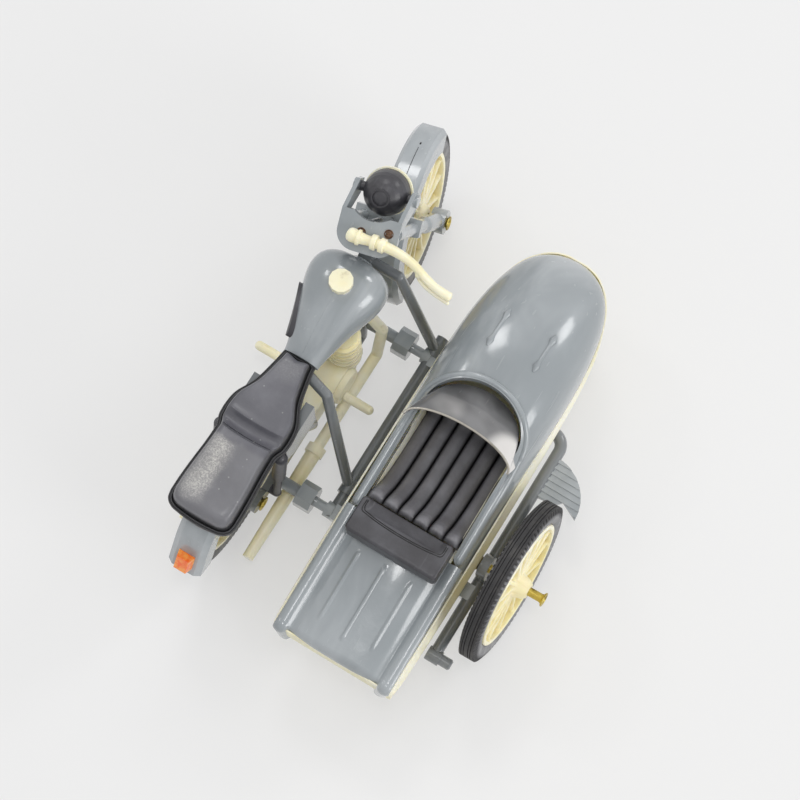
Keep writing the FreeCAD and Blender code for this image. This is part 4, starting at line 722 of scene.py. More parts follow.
# rings from the foot to the top: inset in millimetres, height in millimetres, share of the top's height
SADDLE_RINGS = (
    (0.30, 0.00, 0.0), (0.02, 0.10, 0.0), (0.00, 0.25, 0.0), (0.00, 0.75, 0.0), (0.06, 0.88, 0.0),
    (0.24, 0.92, 0.0), (0.32, 0.74, 0.0), (0.42, 0.74, 0.0), (0.50, 0.98, 0.0), (0.66, 1.16, 0.0),
    (0.84, 1.16, 0.0), (1.00, 0.98, 0.0), (1.06, 0.62, 0.0), (1.14, 0.56, 0.0), (1.20, 0.60, 0.12),
    (1.27, 0.60, 0.36), (1.36, 0.60, 0.60), (1.50, 0.60, 0.78), (1.70, 0.60, 0.90), (1.98, 0.60, 0.965),
    (2.40, 0.60, 0.99), (3.00, 0.60, 1.0))


def saddle_piece():
    """The saddle, worked out as rings that step inwards from one closed outline.

    The outline's half width follows the length. Each ring is pulled towards the middle line by an
    inset in real length: a flange, a groove, a bead, a groove, the wall and the shoulder. The height
    of the top follows the length: a front seat that ends in a ridge, a hollow behind it, and a rear
    seat with a beaded front edge that bows backwards.
    """
    low, high = corners("seat")
    centre_x = (low[0] + high[0]) / 2 - 0.25 * MM
    front = high[1] + 0.5 * MM
    tail_bow, seat_bow, crown_rise = 0.35 * MM, 0.9 * MM, 0.55 * MM
    spine_front, spine_back, wall_inset = 3.6 * MM, 7.4 * MM, 1.14 * MM
    rear_lean, front_lean, lean_power = 1.5, 0.5, 1.5
    deepest_inset, foot_narrows = 0.8, 0.2
    down = runs(SADDLE_ROWS) * MM
    length = down[-1]
    wide = through(SADDLE_OUTLINE, down, MM)
    ends = 14
    nose_x = np.linspace(-wide[0], wide[0], ends, endpoint=False)[1:]
    tail_x = np.linspace(wide[-1], -wide[-1], ends, endpoint=False)[1:]
    x = np.concatenate([nose_x, wide, tail_x, -wide[::-1]])
    tail = length + tail_bow * (1 - (tail_x / wide[-1]) ** 2)
    behind = np.concatenate([0 * nose_x, down, tail, down[::-1]])
    spine = np.clip(behind, spine_front, length - spine_back)
    away = np.stack([x, behind - spine], axis=-1)
    reach = np.linalg.norm(away, axis=1)
    facing = away[:, 1] / reach
    rearward = np.clip(facing, 0, 1) ** lean_power
    forward = np.clip(-facing, 0, 1) ** lean_power
    rings = np.array(SADDLE_RINGS)
    inset = rings[:, :1] * MM
    inset = inset + np.clip(inset - wall_inset, 0, None) * (rear_lean * rearward + front_lean * forward)
    inset = np.minimum(inset, reach * deepest_inset)
    inwards = np.linspace(1.0, 0.0, 12)[1:, None]
    inset = np.concatenate([inset, inset[-1] + (reach - inset[-1]) * (1 - inwards)])
    keep = 1 - inset / reach
    ring_x = x * keep
    ring_back = spine + (behind - spine) * keep
    across = ring_x / wide.max()
    level = through(SADDLE_TOP, ring_back - seat_bow * (1 - across ** 2), MM)
    steady = through(SADDLE_STEADY, ring_back, MM)
    share = np.concatenate([rings[:, 2:], np.ones_like(inwards)])
    foot = np.concatenate([rings[:, 1:2], np.full_like(inwards, rings[-1, 1])]) * MM
    tall = steady + (level - steady) * share ** 2
    ring_z = foot + (tall + crown_rise * (1 - across ** 2) * share - foot) * share
    top = np.stack([centre_x + ring_x, front - ring_back, low[2] + ring_z], axis=-1)
    under = top[:1].copy()
    under[..., 0] = centre_x + foot_narrows * (under[..., 0] - centre_x)
    surface_piece("saddle_skin", [np.concatenate([under, top])], MAIN_BODY, "saddle", 38.0,
                  stands_for="seat")


# the channelled seat's line: share of its run, millimetres back from its front, share of its rise
SEAT_LINE = ((0.0, 0.0, 0.0), (0.03, 0.1, 0.22), (0.08, 0.9, 0.43), (0.2, 6.0, 0.49), (0.36, 13.5, 0.515),
             (0.5, 19.6, 0.54), (0.62, 23.4, 0.59), (0.74, 26.6, 0.68), (0.86, 29.2, 0.82),
             (0.94, 30.9, 0.915), (0.98, 32.2, 0.945), (1.0, 33.2, 0.93))
# the top of the seat's cheeks in millimetres, along the toy
CHEEK_TOP = ((-34.0, 32.6), (-28.0, 33.2), (-16.0, 34.6), (-6.0, 35.7), (-1.0, 34.5), (6.0, 28.0))
CHANNEL_COLUMNS = 20


def cushion_piece():
    """The sidecar seat: rounded channels swept along one gently bending line.

    The line's depth and height follow stations from under the cowl to the back pad. Across it the
    height is the size of a sine, one hump to a channel, raised to a small power so that the valleys
    stay narrow; the humps fade to round ends at the pad. A thin cheek stands up along each side.
    """
    sizes = SCENE.toy_sizes
    low, high = corners("cushion")
    side_lap, cheek_wall, cheek_gap, foot_gap = 0.5 * MM, 0.3 * MM, 0.35 * MM, 0.3 * MM
    crumple_depth, crumples, crumple_shift, crumple_drift = 0.10 * MM, 37.0, 5.0, 9.0
    head_share, foot_share, shade_share = 0.09, 0.08, 0.22
    hump_power, valley_power, line_share = 0.6, 0.8, 0.7
    rows = 150
    t = np.linspace(0, 1, rows)
    s = np.linspace(0, 1, sizes.channels * CHANNEL_COLUMNS + 1)
    share, back, rise = np.array(SEAT_LINE).T
    line_y = high[1] - cubic(share, back, t) * MM
    line_z = low[2] + (high[2] - low[2]) * cubic(share, rise, t)
    ahead = unit(np.stack([np.gradient(line_y), np.gradient(line_z)], axis=-1))
    wave = np.abs(np.sin(np.pi * s * sizes.channels))
    head = np.clip((1 - t) / head_share, 0, 1)[:, None]
    fade = domed(head) * domed(t[:, None] / foot_share)
    lift = wave ** hump_power * sizes.channel_rise * fade - sizes.channel_rise * line_share
    crumple = np.sin(crumples * s + crumple_shift * np.sin(crumple_drift * s))
    lift = lift + crumple_depth * crumple * (1 - head)
    y = line_y[:, None] + ahead[:, 1:] * lift
    z = line_z[:, None] - ahead[:, :1] * lift
    x = low[0] - side_lap + (high[0] - low[0] + 2 * side_lap) * s + 0 * y
    skin = np.stack([x, y, z], axis=-1)
    # painted shadow over the seat's front under the cowl and windscreen, and painted shade in the channel
    # valleys
    shade = stepped(shade_share - t, 0.0, shade_share)[:, None]
    painted_shade = np.maximum(1 - wave ** valley_power + 0 * y, shade)
    cheek = through(CHEEK_TOP, line_y / MM)[:, None] * MM
    cheek = np.maximum(cheek, z[:, [0, -1]])

    def wall(column, inwards):
        line = skin[:, column].copy()
        line[:, 0] += inwards
        line[:, 2] = cheek[:, column]
        return line[:, None]

    left = [wall(0, 0.0), wall(0, cheek_wall)]
    right = [wall(-1, -cheek_wall), wall(-1, 0.0)]
    skin[:, 0, 0] += cheek_gap
    skin[:, -1, 0] -= cheek_gap
    skin = np.concatenate([*left, skin, *right], axis=1)
    # the cheeks carry full painted shade and stand for the cockpit's shadowed inner walls
    painted_shade = np.pad(painted_shade, ((0, 0), (2, 2)), constant_values=1.0)
    under = skin[:, ::-1].copy()
    under[..., 2] = low[2]
    under[..., 1] = np.clip(under[..., 1], low[1], high[1] - foot_gap)
    grid = np.concatenate([skin, under], axis=1)
    piece = surface_piece("channelled_seat", [grid], MAIN_BODY, "seat", 50.0,
                          caps=end_caps(*grid.shape[:2]), stands_for="cushion")
    carry_share(piece, "sunk", np.concatenate([painted_shade, 0 * painted_shade + 1], axis=1))


# the back pad's rings: height and inset in millimetres
PAD_RINGS = ((0.0, 1.2), (0.0, 0.8), (0.5, 0.3), (0.6, 0.12), (0.9, 0.0), (5.2, 0.0), (5.6, 0.06),
             (5.85, 0.2), (6.02, 0.42), (6.08, 0.7), (6.1, 1.1))


def back_pad_piece():
    """The pad behind the cockpit: rings that step inwards and up from a round cornered rectangle.

    The rings give an undercut foot, a leaning wall, a narrow chamfer and a nearly flat top. A front
    strip of the top falls away ahead of a double piping line that turns forwards at both ends.
    """
    low, high = corners("head_rest")
    centre = (low + high) / 2
    half_x, half_y, rise = (high - low) * (0.5, 0.5, 1.0)
    corner = 1.1 * MM
    strip, strip_fall, strip_end, strip_fade, crown = 3.4 * MM, 1.7 * MM, 1.8 * MM, 1.2 * MM, 0.15 * MM
    fall_power, top_power = 0.8, 4
    arc = np.linspace(0, np.pi / 2, 10)
    corner_x = half_x - corner + corner * np.cos(arc)
    corner_y = half_y - corner + corner * np.sin(arc)
    side_x = np.linspace(half_x - corner, corner - half_x, 70)[1:-1]
    side_y = np.linspace(half_y - corner, corner - half_y, 26)[1:-1]
    edge_x = np.concatenate([corner_x, side_x, -corner_x[::-1], 0 * side_y - half_x, -corner_x, -side_x,
                             corner_x[::-1], 0 * side_y + half_x])
    edge_y = np.concatenate([corner_y, 0 * side_x + half_y, corner_y[::-1], side_y, -corner_y,
                             0 * side_x - half_y, -corner_y[::-1], -side_y])
    rings = np.array(PAD_RINGS)
    level = low[2] + rings[:, :1] / rings[-1, 0] * rise
    pulled = rings[:, 1:] * MM
    inwards = np.linspace(1, 0, 26)[1:, None]
    x = edge_x * (1 - pulled / half_x)
    y = edge_y * (1 - pulled / half_y)
    x = np.concatenate([x, x[-1] * inwards])
    y = np.concatenate([y, y[-1] * inwards])
    z = np.concatenate([level, np.full_like(inwards, level[-1, 0])]) + 0 * x
    fold = half_y - strip

    def fallen(x, y):
        ahead = np.clip((y - fold) / strip, 0, 1)
        ahead = ahead * np.clip((half_x - strip_end - np.abs(x)) / strip_fade, 0, 1)
        return crown * (1 - (x / half_x) ** 2) - ahead ** fall_power * strip_fall

    z = z + np.clip((z - low[2]) / rise, 0, 1) ** top_power * fallen(x, y)
    top = np.stack([centre[0] + x, centre[1] + y, z], axis=-1)
    foot = top[:1].copy()
    foot[..., :2] = centre[:2]
    surface_piece("back_pad", [np.concatenate([foot, top])], MAIN_BODY, "black", 45.0,
                  stands_for="head_rest")

    side_gap, front_gap, line_gap, line_step = 1.75 * MM, 0.9 * MM, 0.15 * MM, 0.42 * MM
    bend_near, bend_far, turn_in = 0.35 * MM, 1.2 * MM, 2.0 * MM
    thread, sunk = 0.13 * MM, 0.02 * MM
    stops = (0.0, 0.06, 0.12, 0.2, 0.8, 0.88, 0.94, 1.0)
    t = np.linspace(0, 1, 90)
    tubes = []
    for step in (0.0, line_step):
        side = half_x - side_gap + step
        row = fold - step - line_gap
        run_x = np.array([side, side, side - bend_near, side - turn_in])
        run_y = np.array([half_y - front_gap, row + bend_far, row + bend_near, row])
        x = cubic(stops, np.concatenate([-run_x, run_x[::-1]]), t)
        y = cubic(stops, np.concatenate([run_y, run_y[::-1]]), t)
        z = level[-1, 0] + fallen(x, y) - sunk
        tubes.append(tube_along(np.stack([centre[0] + x, centre[1] + y, z], axis=-1), thread, 8))
    surface_piece("pad_piping", tubes, MAIN_BODY, "seam")


# small trim
def rivet_piece(place):
    """A hollow brass rivet: a flared and rolled cup at each end of a shaft, turned about the wheel's line.

    The shaft's length and the head's radius follow from the pin's box and its tilt.
    """
    node = place + "_pin"
    heading = pin_line(place)
    low, high = corners(node)
    width, _, height = (high - low) / MM
    head = (height - abs(heading[2]) * width) / 2
    tilt = np.sqrt(1 - heading[0] ** 2)
    length = (width - 2 * head * tilt) / abs(heading[0])
    cup = [(1.3, 0.02), (1.3, 0.62), (1.1, 0.72), (0.35, 0.86), (0.12, 1.05), (0.02, head * 0.72),
           (0.0, head * 0.84), (0.06, head * 0.95), (0.2, head), (0.38, head * 0.97), (0.52, head * 0.84),
           (0.62, 1.3), (0.95, 1.14), (1.15, 1.1)]
    other = [(length - s, r) for s, r in reversed(cup)]
    grid = lathe((low + high) / 2 - heading * length / 2 * MM, heading, cup + other, 48)
    surface_piece(node + "_rivet", [grid], body_of(node), "brass", 40.0, (True, False),
                  stands_for=node)


def windscreen_piece():
    """The windscreen: a shell whose plan runs from a deep half ellipse at the foot to a wide flat one.

    Half width, depth and place run smoothly from foot to top, and at the foot both sides run on
    backwards and outwards; two skins a wall apart meet in a rolled top edge, with a paler bead.
    """
    low, high = corners("windscreen")
    middle_x = (low[0] + high[0]) / 2
    tails_widen, top_widens, top_depth = 1.26, 2.1 * MM, 5.0 * MM
    top_back, foot_ahead, top_gap = 0.5 * MM, 6.5 * MM, 0.9 * MM
    tail_flare, tail_run, tail_least, bead_radius = 2.2 * MM, 3.1 * MM, 0.25 * MM, 0.27 * MM
    widen_power, flare_power, bead_power, bead_least = 0.85, 1.5, 14, 0.02
    foot_half = (high[0] - low[0]) / 2 / tails_widen
    foot_y = low[1] + foot_ahead
    foot_depth = high[1] - foot_y
    turn = np.linspace(0.0, np.pi, 130)
    side = np.linspace(1.0, 0.0, 16)[:-1]
    t = np.linspace(0.0, 1.0, 30)[:, None]
    half = foot_half + top_widens * t ** widen_power
    depth = foot_depth + (top_depth - foot_depth) * t
    line_y = foot_y + (low[1] - top_back - foot_y) * t
    line_z = low[2] + (high[2] - top_gap - low[2]) * t
    flare = tail_flare * (1 - t)
    tail = tail_run * (1 - t) + tail_least
    skins = []
    for wall in (0.0, SCENE.toy_sizes.screen_wall):
        thin = np.full_like(t, wall)
        thin[-1] = wall / 2
        out = half - thin + flare * side ** flare_power
        x = middle_x + np.concatenate([out, (half - thin) * np.cos(turn), -out[:, ::-1]], axis=1)
        run = line_y - tail * side
        y = np.concatenate([run, line_y + (depth - thin) * np.sin(turn), run[:, ::-1]], axis=1)
        skins.append(np.stack([x, y, line_z + 0 * x], axis=-1))
    grid = np.concatenate([skins[0], skins[1][::-1]])
    rows, columns = grid.shape[:2]
    starts = [row * columns for row in range(rows)]
    caps = [starts, [start + columns - 1 for start in reversed(starts)]]
    surface_piece("windscreen_shell", [grid], MAIN_BODY, "smoke", 45.0, (True, False), caps,
                  stands_for="windscreen")
    path = (skins[0][-1] + skins[1][-1]) / 2
    end = np.linspace(-1.0, 1.0, len(path))
    radius = bead_radius * np.sqrt(np.clip(1 - np.abs(end) ** bead_power, bead_least, 1))
    bead = tube_along(path, radius, 12)
    surface_piece("windscreen_edge", [bead], MAIN_BODY, "edge", caps=end_caps(*bead.shape[:2]))


def guard_seam_piece():
    """A fine seam round the top of the front mudguard, and the small slot it runs into.

    Both are tubes whose path is an arc about the wheel's pin, in degrees from straight ahead.
    """
    line = pin_line("front")
    seam_radius, slot_radius, slot_least = 0.09 * MM, 0.24 * MM, 0.01
    ahead = unit(np.cross((0.0, 0.0, 1.0), line))
    lift = np.cross(line, ahead)
    radius = SCENE.toy_sizes.guard_radius

    def round_guard(first, last, count, sink):
        angles = np.radians(np.linspace(first, last, count))[:, None]
        return middle("front_rim") + (np.cos(angles) * ahead + np.sin(angles) * lift) * (radius - sink)

    seam = round_guard(66.0, 112.0, 60, 0.02 * MM)
    slot = round_guard(61.2, 63.6, 12, 0.08 * MM)
    slot_radii = slot_radius * domed(1 - np.abs(np.linspace(-1, 1, len(slot))), slot_least)
    tubes = [tube_along(seam, seam_radius, 6), tube_along(slot, slot_radii, 10)]
    surface_piece("guard_seam", tubes, body_of("front_mudguard"), "seam")


def tank_seam_piece():
    """The mould's joint line along the top of the tank: a fine thread laid on its highest places."""
    low, high = corners("tank")
    cap_low, cap_high = corners("tank_cap")
    x = (low[0] + high[0]) / 2
    rear_gap, front_gap, cap_gap, thread, sunk = 1.0 * MM, 1.2 * MM, 0.3 * MM, 0.07 * MM, 0.02 * MM
    tubes = []
    behind = (low[1] + rear_gap, cap_low[1] - cap_gap)
    before = (cap_high[1] + cap_gap, high[1] - front_gap)
    for first, last in (behind, before):
        path = np.array([landed("tank", x, y)[0] for y in np.linspace(first, last, 40)])
        tubes.append(tube_along(path - (0, 0, sunk), thread, 6))
    surface_piece("tank_seam", tubes, MAIN_BODY, "grey")


# the screws' places in millimetres, and their heads: height over the yoke and radius
SCREW_PLACES = ((-25.4, 23.4), (-31.4, 20.9))
SCREW_HEAD = ((-0.2, 1.12), (0.12, 1.12), (0.2, 1.05), (0.12, 0.92), (0.02, 0.84), (0.22, 0.76), (0.36, 0.5),
              (0.4, 0.02))


def screw_pieces():
    """Rusty screw heads sunk in the top yoke: low domes whose slot is a fold across the middle rows."""
    slot_heading = (1.0, 0.4, 0.0)
    slot_reach, slot_half, slot_depth = 0.85 * MM, 0.16 * MM, 0.22 * MM
    heads = []
    for x, y in SCREW_PLACES:
        place, facing = landed("crown", x * MM, y * MM)
        grid = lathe(place, facing, SCREW_HEAD, 36)
        across = np.abs((grid - place) @ unit(np.cross(facing, slot_heading)))
        inside = np.linalg.norm(grid - place, axis=-1) < slot_reach
        heads.append(grid - facing * ((across < slot_half) & inside)[..., None] * slot_depth)
    surface_piece("crown_screws", heads, body_of("crown"), "rust", 35.0, (True, False))


# larger moulded forms
# radii of the wheel's grid in millimetres: at its hub, and how far inside its rim near the ring
HUB_RADII = (0.02, 1.0, 1.9, 2.5, 2.75, 2.9, 3.0, 3.1, 3.3, 3.6)
RING_INSETS = (1.6, 1.45, 1.3, 1.15, 1.0, 0.6, 0.25, 0.08, 0.0)


def rim_piece(place, hub_half):
    """A cast wheel: on a polar grid the half thickness is the largest of ring, hub and spokes.

    Each pair of spokes leaves the hub together and splays to the ring. A spoke's height falls off
    with the straight distance to its own middle line. The share of depth below the ring is kept as
    an attribute, so that the recesses can be painted darker and yellower: painted shade with yellowing.
    """
    pairs = SCENE.toy_sizes.spoke_pairs
    outer = SCENE.toy_sizes.rim_radius / MM
    spoke_start, start_turn, end_share = 2.7, 0.26, 0.25
    spoke_core, spoke_foot, hub_core, hub_foot, boss_core, boss_foot = 0.50, 0.95, 2.0, 3.5, 4.2, 6.2
    ring_foot, ring_core, brim, web_end, web_start = 1.5, 1.1, 0.2, 1.9, 4.0
    spoke_share, boss_share = 0.94, 0.8
    web_half, spoke_rise, ring_rise, brim_half = 0.35, 1.55, 0.5, 2.2
    line = pin_line(place)
    up = square_to(line)
    ahead = np.cross(line, up)
    turn = np.linspace(0, 2 * np.pi, pairs * 36, endpoint=False)
    web = np.linspace(web_start, outer - web_end, 20)
    radii = np.concatenate([HUB_RADII, web, outer - np.array(RING_INSETS)])
    r, a = np.meshgrid(radii, turn, indexing="ij")
    plane = np.stack([r * np.cos(a), r * np.sin(a)], axis=-1)
    nearest = np.full_like(r, np.inf)
    for pair in range(pairs):
        for side in (-1, 1):
            first = 2 * np.pi * pair / pairs + side * start_turn
            last = 2 * np.pi * (pair + side * end_share) / pairs
            start = spoke_start * np.array([np.cos(first), np.sin(first)])
            run = outer * np.array([np.cos(last), np.sin(last)]) - start
            t = np.clip((plane - start) @ run / (run @ run), 0, 1)
            nearest = np.minimum(nearest, np.linalg.norm(plane - start - t[..., None] * run, axis=-1))
    spoke = 1 - stepped(nearest, spoke_core, spoke_foot)
    ring = stepped(r, outer - ring_foot, outer - ring_core)
    hub = 1 - stepped(r, hub_core, hub_foot)
    boss = 1 - stepped(r, boss_core, boss_foot)
    raised = np.maximum(np.maximum(ring, spoke * spoke_share), boss * boss_share)
    half = web_half + spoke_rise * raised + ring_rise * ring
    half = half + (hub_half / MM - half) * hub
    half = np.where(r > outer - brim, np.minimum(half, brim_half), half)[..., None]
    face = middle(place + "_rim") + (up * plane[..., :1] + ahead * plane[..., 1:]) * MM
    grid = np.concatenate([face + line * half * MM, (face - line * half * MM)[::-1]])
    node = place + "_rim"
    piece = surface_piece(place + "_cast_wheel", [grid], body_of(node), "wheel", 40.0,
                          stands_for=node)
    carry_share(piece, "sunk", 1 - np.concatenate([raised, raised[::-1]]))


# the rear deck in millimetres along the toy: height of its rails, and the crown of its bed over them
DECK_RAILS = ((-62.0, 28.55), (-50.0, 30.0), (-40.0, 31.4), (-32.0, 32.5), (-30.0, 32.75))
DECK_CROWN = ((-62.0, 1.75), (-50.0, 2.3), (-40.0, 2.7), (-32.0, 2.5), (-30.0, 2.4))
# its ribs: place across, where a rib starts to rise at the tail, and where it is full
DECK_RIBS = ((-7.2, -57.2, -56.6), (0.0, -59.0, -58.4), (7.2, -57.2, -56.6))


def deck_piece():
    """The sidecar's rear deck: one sheet carried along a line that runs back, then turns down the tail.

    Across the sheet the height is a low crown with three thin ribs, and a round rail near each edge;
    because it is added square to the line, the rails run on down the tail as horns.
    """
    low, high = corners("rear_deck")
    middle_x = (low[0] + high[0]) / 2
    half = (high[0] - low[0]) / 2 / MM
    front_y = high[1] / MM
    tail_y = low[1] / MM - 0.15
    bend_radius, tail_drop, wall, side_strip, dense_from = 1.2, 5.6, 0.55, 4.2, 0.9
    bed_inset, bed_lift, bed_fall, bed_fall_from, bed_power, rail_power = 3.7, 0.1, 0.35, 0.8, 2.4, 2.3
    horn_from, horn_to = 0.3, 0.9
    rail_inset, rail_half, rail_height, blend = 1.7, 1.9, 0.85, 0.12
    rib_height, rib_half, rib_end, rib_front = 0.36, 0.45, -40.0, -39.0
    calm_share, edge_width, edge_drop, horn_rise, tail_narrows = 0.82, 0.25, 0.5, 0.6, 0.012
    strips = ((-half, half, 150), (-half, -half + side_strip, 44), (half - side_strip, half, 44))
    x = np.unique(runs(strips))
    run = front_y - tail_y - bend_radius
    along = np.unique(runs(((0, run * dense_from, 40), (run * dense_from, run, 10))))
    bend = np.linspace(0, np.pi / 2, 12)[1:]
    drop = np.linspace(0, tail_drop, 14)[1:]
    line_y = np.concatenate([front_y - along, front_y - run - bend_radius * np.sin(bend), tail_y + 0 * drop])
    fall = np.concatenate([0 * along, bend_radius * (1 - np.cos(bend)), bend_radius + drop])
    lean = np.concatenate([0 * along, bend, np.pi / 2 + 0 * drop])[:, None]
    line_z = (through(DECK_RAILS, line_y) - fall)[:, None]
    crown_top = through(DECK_CROWN, line_y)[:, None]
    line_y = line_y[:, None]
    off = np.abs(x)
    inner = half - bed_inset
    crown = crown_top * (1 - np.clip(off / inner, 0, 1) ** bed_power)
    crown = crown - bed_fall * stepped(off, inner * bed_fall_from, inner) + bed_lift
    bed = crown * (1 - calm_share * lean / (np.pi / 2))
    rail = rail_height * (1 - (np.abs(off - (half - rail_inset)) / rail_half) ** rail_power)
    height = (bed + rail + np.sqrt((bed - rail) ** 2 + blend)) / 2
    for centre, tail, full in DECK_RIBS:
        ends = stepped(line_y, tail, full) * (1 - stepped(line_y, rib_end, rib_front))
        height = height + rib_height * np.sqrt(np.clip(1 - ((x - centre) / rib_half) ** 2, 0, 1)) * ends
    height = height + stepped(off, inner - horn_from, inner + horn_to) * np.sin(lean) * horn_rise
    narrow = 1 - tail_narrows * np.concatenate([0 * along, 0 * bend, drop])[:, None]
    edge = stepped(off, half - edge_width, half) * edge_drop * np.cos(lean)
    skins = []
    for inwards in (0.0, wall):
        y = line_y - np.sin(lean) * (height - inwards)
        z = line_z + np.cos(lean) * (height - inwards) - edge
        skins.append(np.stack([middle_x + x * narrow * MM, y * MM, z * MM], axis=-1))
    grid = np.concatenate([skins[0], skins[1][:, ::-1]], axis=1)
    surface_piece("deck_skin", [grid], MAIN_BODY, "grey", 48.0,
                  caps=end_caps(*grid.shape[:2]), stands_for="rear_deck")


def cockpit_lip_piece():
    """The rolled lip of the cockpit: a tube half sunk in the cover, along both arms and round the opening.

    Its height is the cover's, evened out along the lip.
    """
    low, high = corners("hull_cover")
    middle_x = (low[0] + high[0]) / 2 / MM
    arm_x, arm_rear, arm_front, bow_y, bow = 14.0, -29.9, -1.2, -1.0, 10.9
    lip_radius, arm_swell, sunk = 0.85, 0.45, 0.42 * MM
    swell_from, swell_to, end_share, end_least = 0.42, 0.62, 0.022, 0.004
    evened = 13
    arm_y = np.linspace(arm_rear, arm_front, 60)
    turn = np.linspace(np.pi, 0, 90)
    plan_x = np.concatenate([0 * arm_y - arm_x, arm_x * np.cos(turn), 0 * arm_y + arm_x])
    plan_y = np.concatenate([arm_y, bow_y + bow * np.sin(turn), arm_y[::-1]])
    path = np.array([landed("hull_cover", (middle_x + x) * MM, y * MM)[0] for x, y in zip(plan_x, plan_y)])
    padded = np.pad(path[:, 2], evened // 2, mode="edge")
    path[:, 2] = np.convolve(padded, np.full(evened, 1 / evened), "valid") - sunk
    off = np.abs(np.linspace(-1, 1, len(path)))
    radius = lip_radius + arm_swell * stepped(off, swell_from, swell_to)
    radius = radius * domed((1 - off) / end_share, end_least)
    surface_piece("cockpit_lip", [tube_along(path, radius * MM, 24)], MAIN_BODY, "grey",
                  fill=True)


# the tub's outline in millimetres: place along the toy and half width, between its corners and its nose
TUB_OUTLINE = ((-50.0, 16.39), (-35.0, 16.48), (-20.0, 16.5), (0.0, 16.48), (15.0, 16.42), (24.0, 16.2),
               (33.2, 15.35), (39.5, 13.9), (44.7, 11.85), (48.4, 9.05), (50.5, 6.2))
# the band's upper edge along the toy, and how far its wall leans out there
BAND_CREST = ((-64.0, 28.0), (-62.0, 28.3), (-50.0, 29.3), (-38.0, 30.0), (-20.0, 30.6), (-2.0, 30.2),
              (12.0, 28.9), (24.0, 27.9), (36.0, 27.4), (52.0, 27.25))
BAND_SWELL = ((-64.0, 0.2), (-62.0, 0.45), (-50.0, 0.8), (-38.0, 0.9), (-20.0, 0.9), (-2.0, 0.9),
              (12.0, 0.75), (24.0, 0.55), (36.0, 0.25), (52.0, 0.1))
# its section: outwards, share of the swell outwards, share of the way down, past one under its foot
BAND_SECTION = ((-0.3, 0.0, 0.0), (0.06, 0.0, 0.0), (0.1, 0.08, 0.12), (0.08, 0.6, 0.55), (0.06, 1.0, 0.97),
                (0.06, 1.0, 1.3), (0.0, 0.7, 1.62), (-0.3, 0.0, 1.65))
BAND_FOOT = 24.6


def tub_band_piece():
    """The tub's outer band: one small section carried round the tub's plan outline and closed on itself.

    Its upper edge climbs by a smooth curve from the nose to the cockpit and falls again to the tail, and
    its wall leans outwards there as moulded walls do.

    The outline joins half widths at places along the hull by a smooth curve through their running
    length, mirrored about the hull's middle, with two round corners at the tail.
    """
    low, high = corners("hull_tub")
    middle_x = (low[0] + high[0]) / 2 / MM
    tail = low[1] / MM
    nose = high[1] / MM
    corner, tail_half = 1.2, 16.19
    back_half = 14.9
    places = np.array([(tail + corner, tail_half), *TUB_OUTLINE, (nose - 0.05, 3.2), (nose + 0.1, 0.0)])
    stops = np.concatenate([[0], np.cumsum(np.linalg.norm(np.diff(places, axis=0), axis=1))])
    t = np.linspace(0, stops[-1], 220)
    y = cubic(stops, places[:, 0], t)
    half = cubic(stops, places[:, 1], t)
    arc = np.linspace(0, np.pi / 2, 8)[1:]
    corner_x = tail_half - corner + corner * np.cos(arc)
    corner_y = tail + corner - corner * np.sin(arc)
    back_x = np.linspace(back_half, -back_half, 40)
    line_x = np.concatenate([-half, half[::-1][1:], corner_x, back_x, -corner_x[::-1]])
    line_y = np.concatenate([y, y[::-1][1:], corner_y, tail + 0 * back_x, corner_y[::-1]])
    line = np.stack([line_x, line_y], axis=1)
    run = unit(np.roll(line, -1, axis=0) - np.roll(line, 1, axis=0))
    crest = through(BAND_CREST, line_y)[:, None]
    swell = through(BAND_SWELL, line_y)[:, None]
    outwards, swollen, down = np.array(BAND_SECTION).T
    offset = outwards + swell * swollen
    x = middle_x + line[:, :1] - run[:, 1:] * offset
    y = line[:, 1:] + run[:, :1] * offset
    grid = np.stack([x, y, crest - down * (crest - BAND_FOOT)], axis=-1) * MM
    surface_piece("tub_band", [grid], MAIN_BODY, "band", 40.0, (True, True))


# the handlebar from its broken end to its grip, in millimetres: a place in three numbers and a radius
BAR_LINE = (
    (-34.0, 18.9, 61.6, 1.2), (-32.9, 18.95, 61.75, 1.7), (-31.3, 19.15, 61.85, 1.6),
    (-29.2, 19.55, 61.95, 1.25), (-27.2, 19.95, 62.2, 1.25), (-25.2, 20.2, 62.35, 1.3),
    (-23.0, 20.35, 62.65, 1.25), (-20.6, 20.3, 63.05, 1.18), (-18.0, 20.0, 63.4, 1.12),
    (-15.4, 19.3, 63.8, 1.08), (-12.4, 18.2, 64.2, 1.06), (-9.6, 17.35, 64.55, 1.08),
    (-7.0, 16.95, 64.9, 1.16), (-4.6, 16.9, 65.1, 1.1))
# its collars: share of the way along, half width in the same share, and rise
BAR_COLLARS = ((0.165, 0.012, 0.35), (0.305, 0.022, 0.62), (0.385, 0.022, 0.5))
LEVER_LINE = ((-15.0, 18.6, 63.2), (-13.2, 17.3, 63.0), (-10.6, 16.4, 63.3), (-7.4, 15.9, 63.8),
              (-4.4, 15.6, 64.2))
KNOB_PLACE = (-14.0, 18.3, 63.6)
KNOB_HEADING = (-0.25, -0.75, 0.6)
KNOB_PROFILE = ((-1.2, 0.02), (-1.2, 0.8), (-0.4, 0.85), (0.2, 0.95), (0.6, 0.9), (0.9, 0.6), (1.0, 0.02))


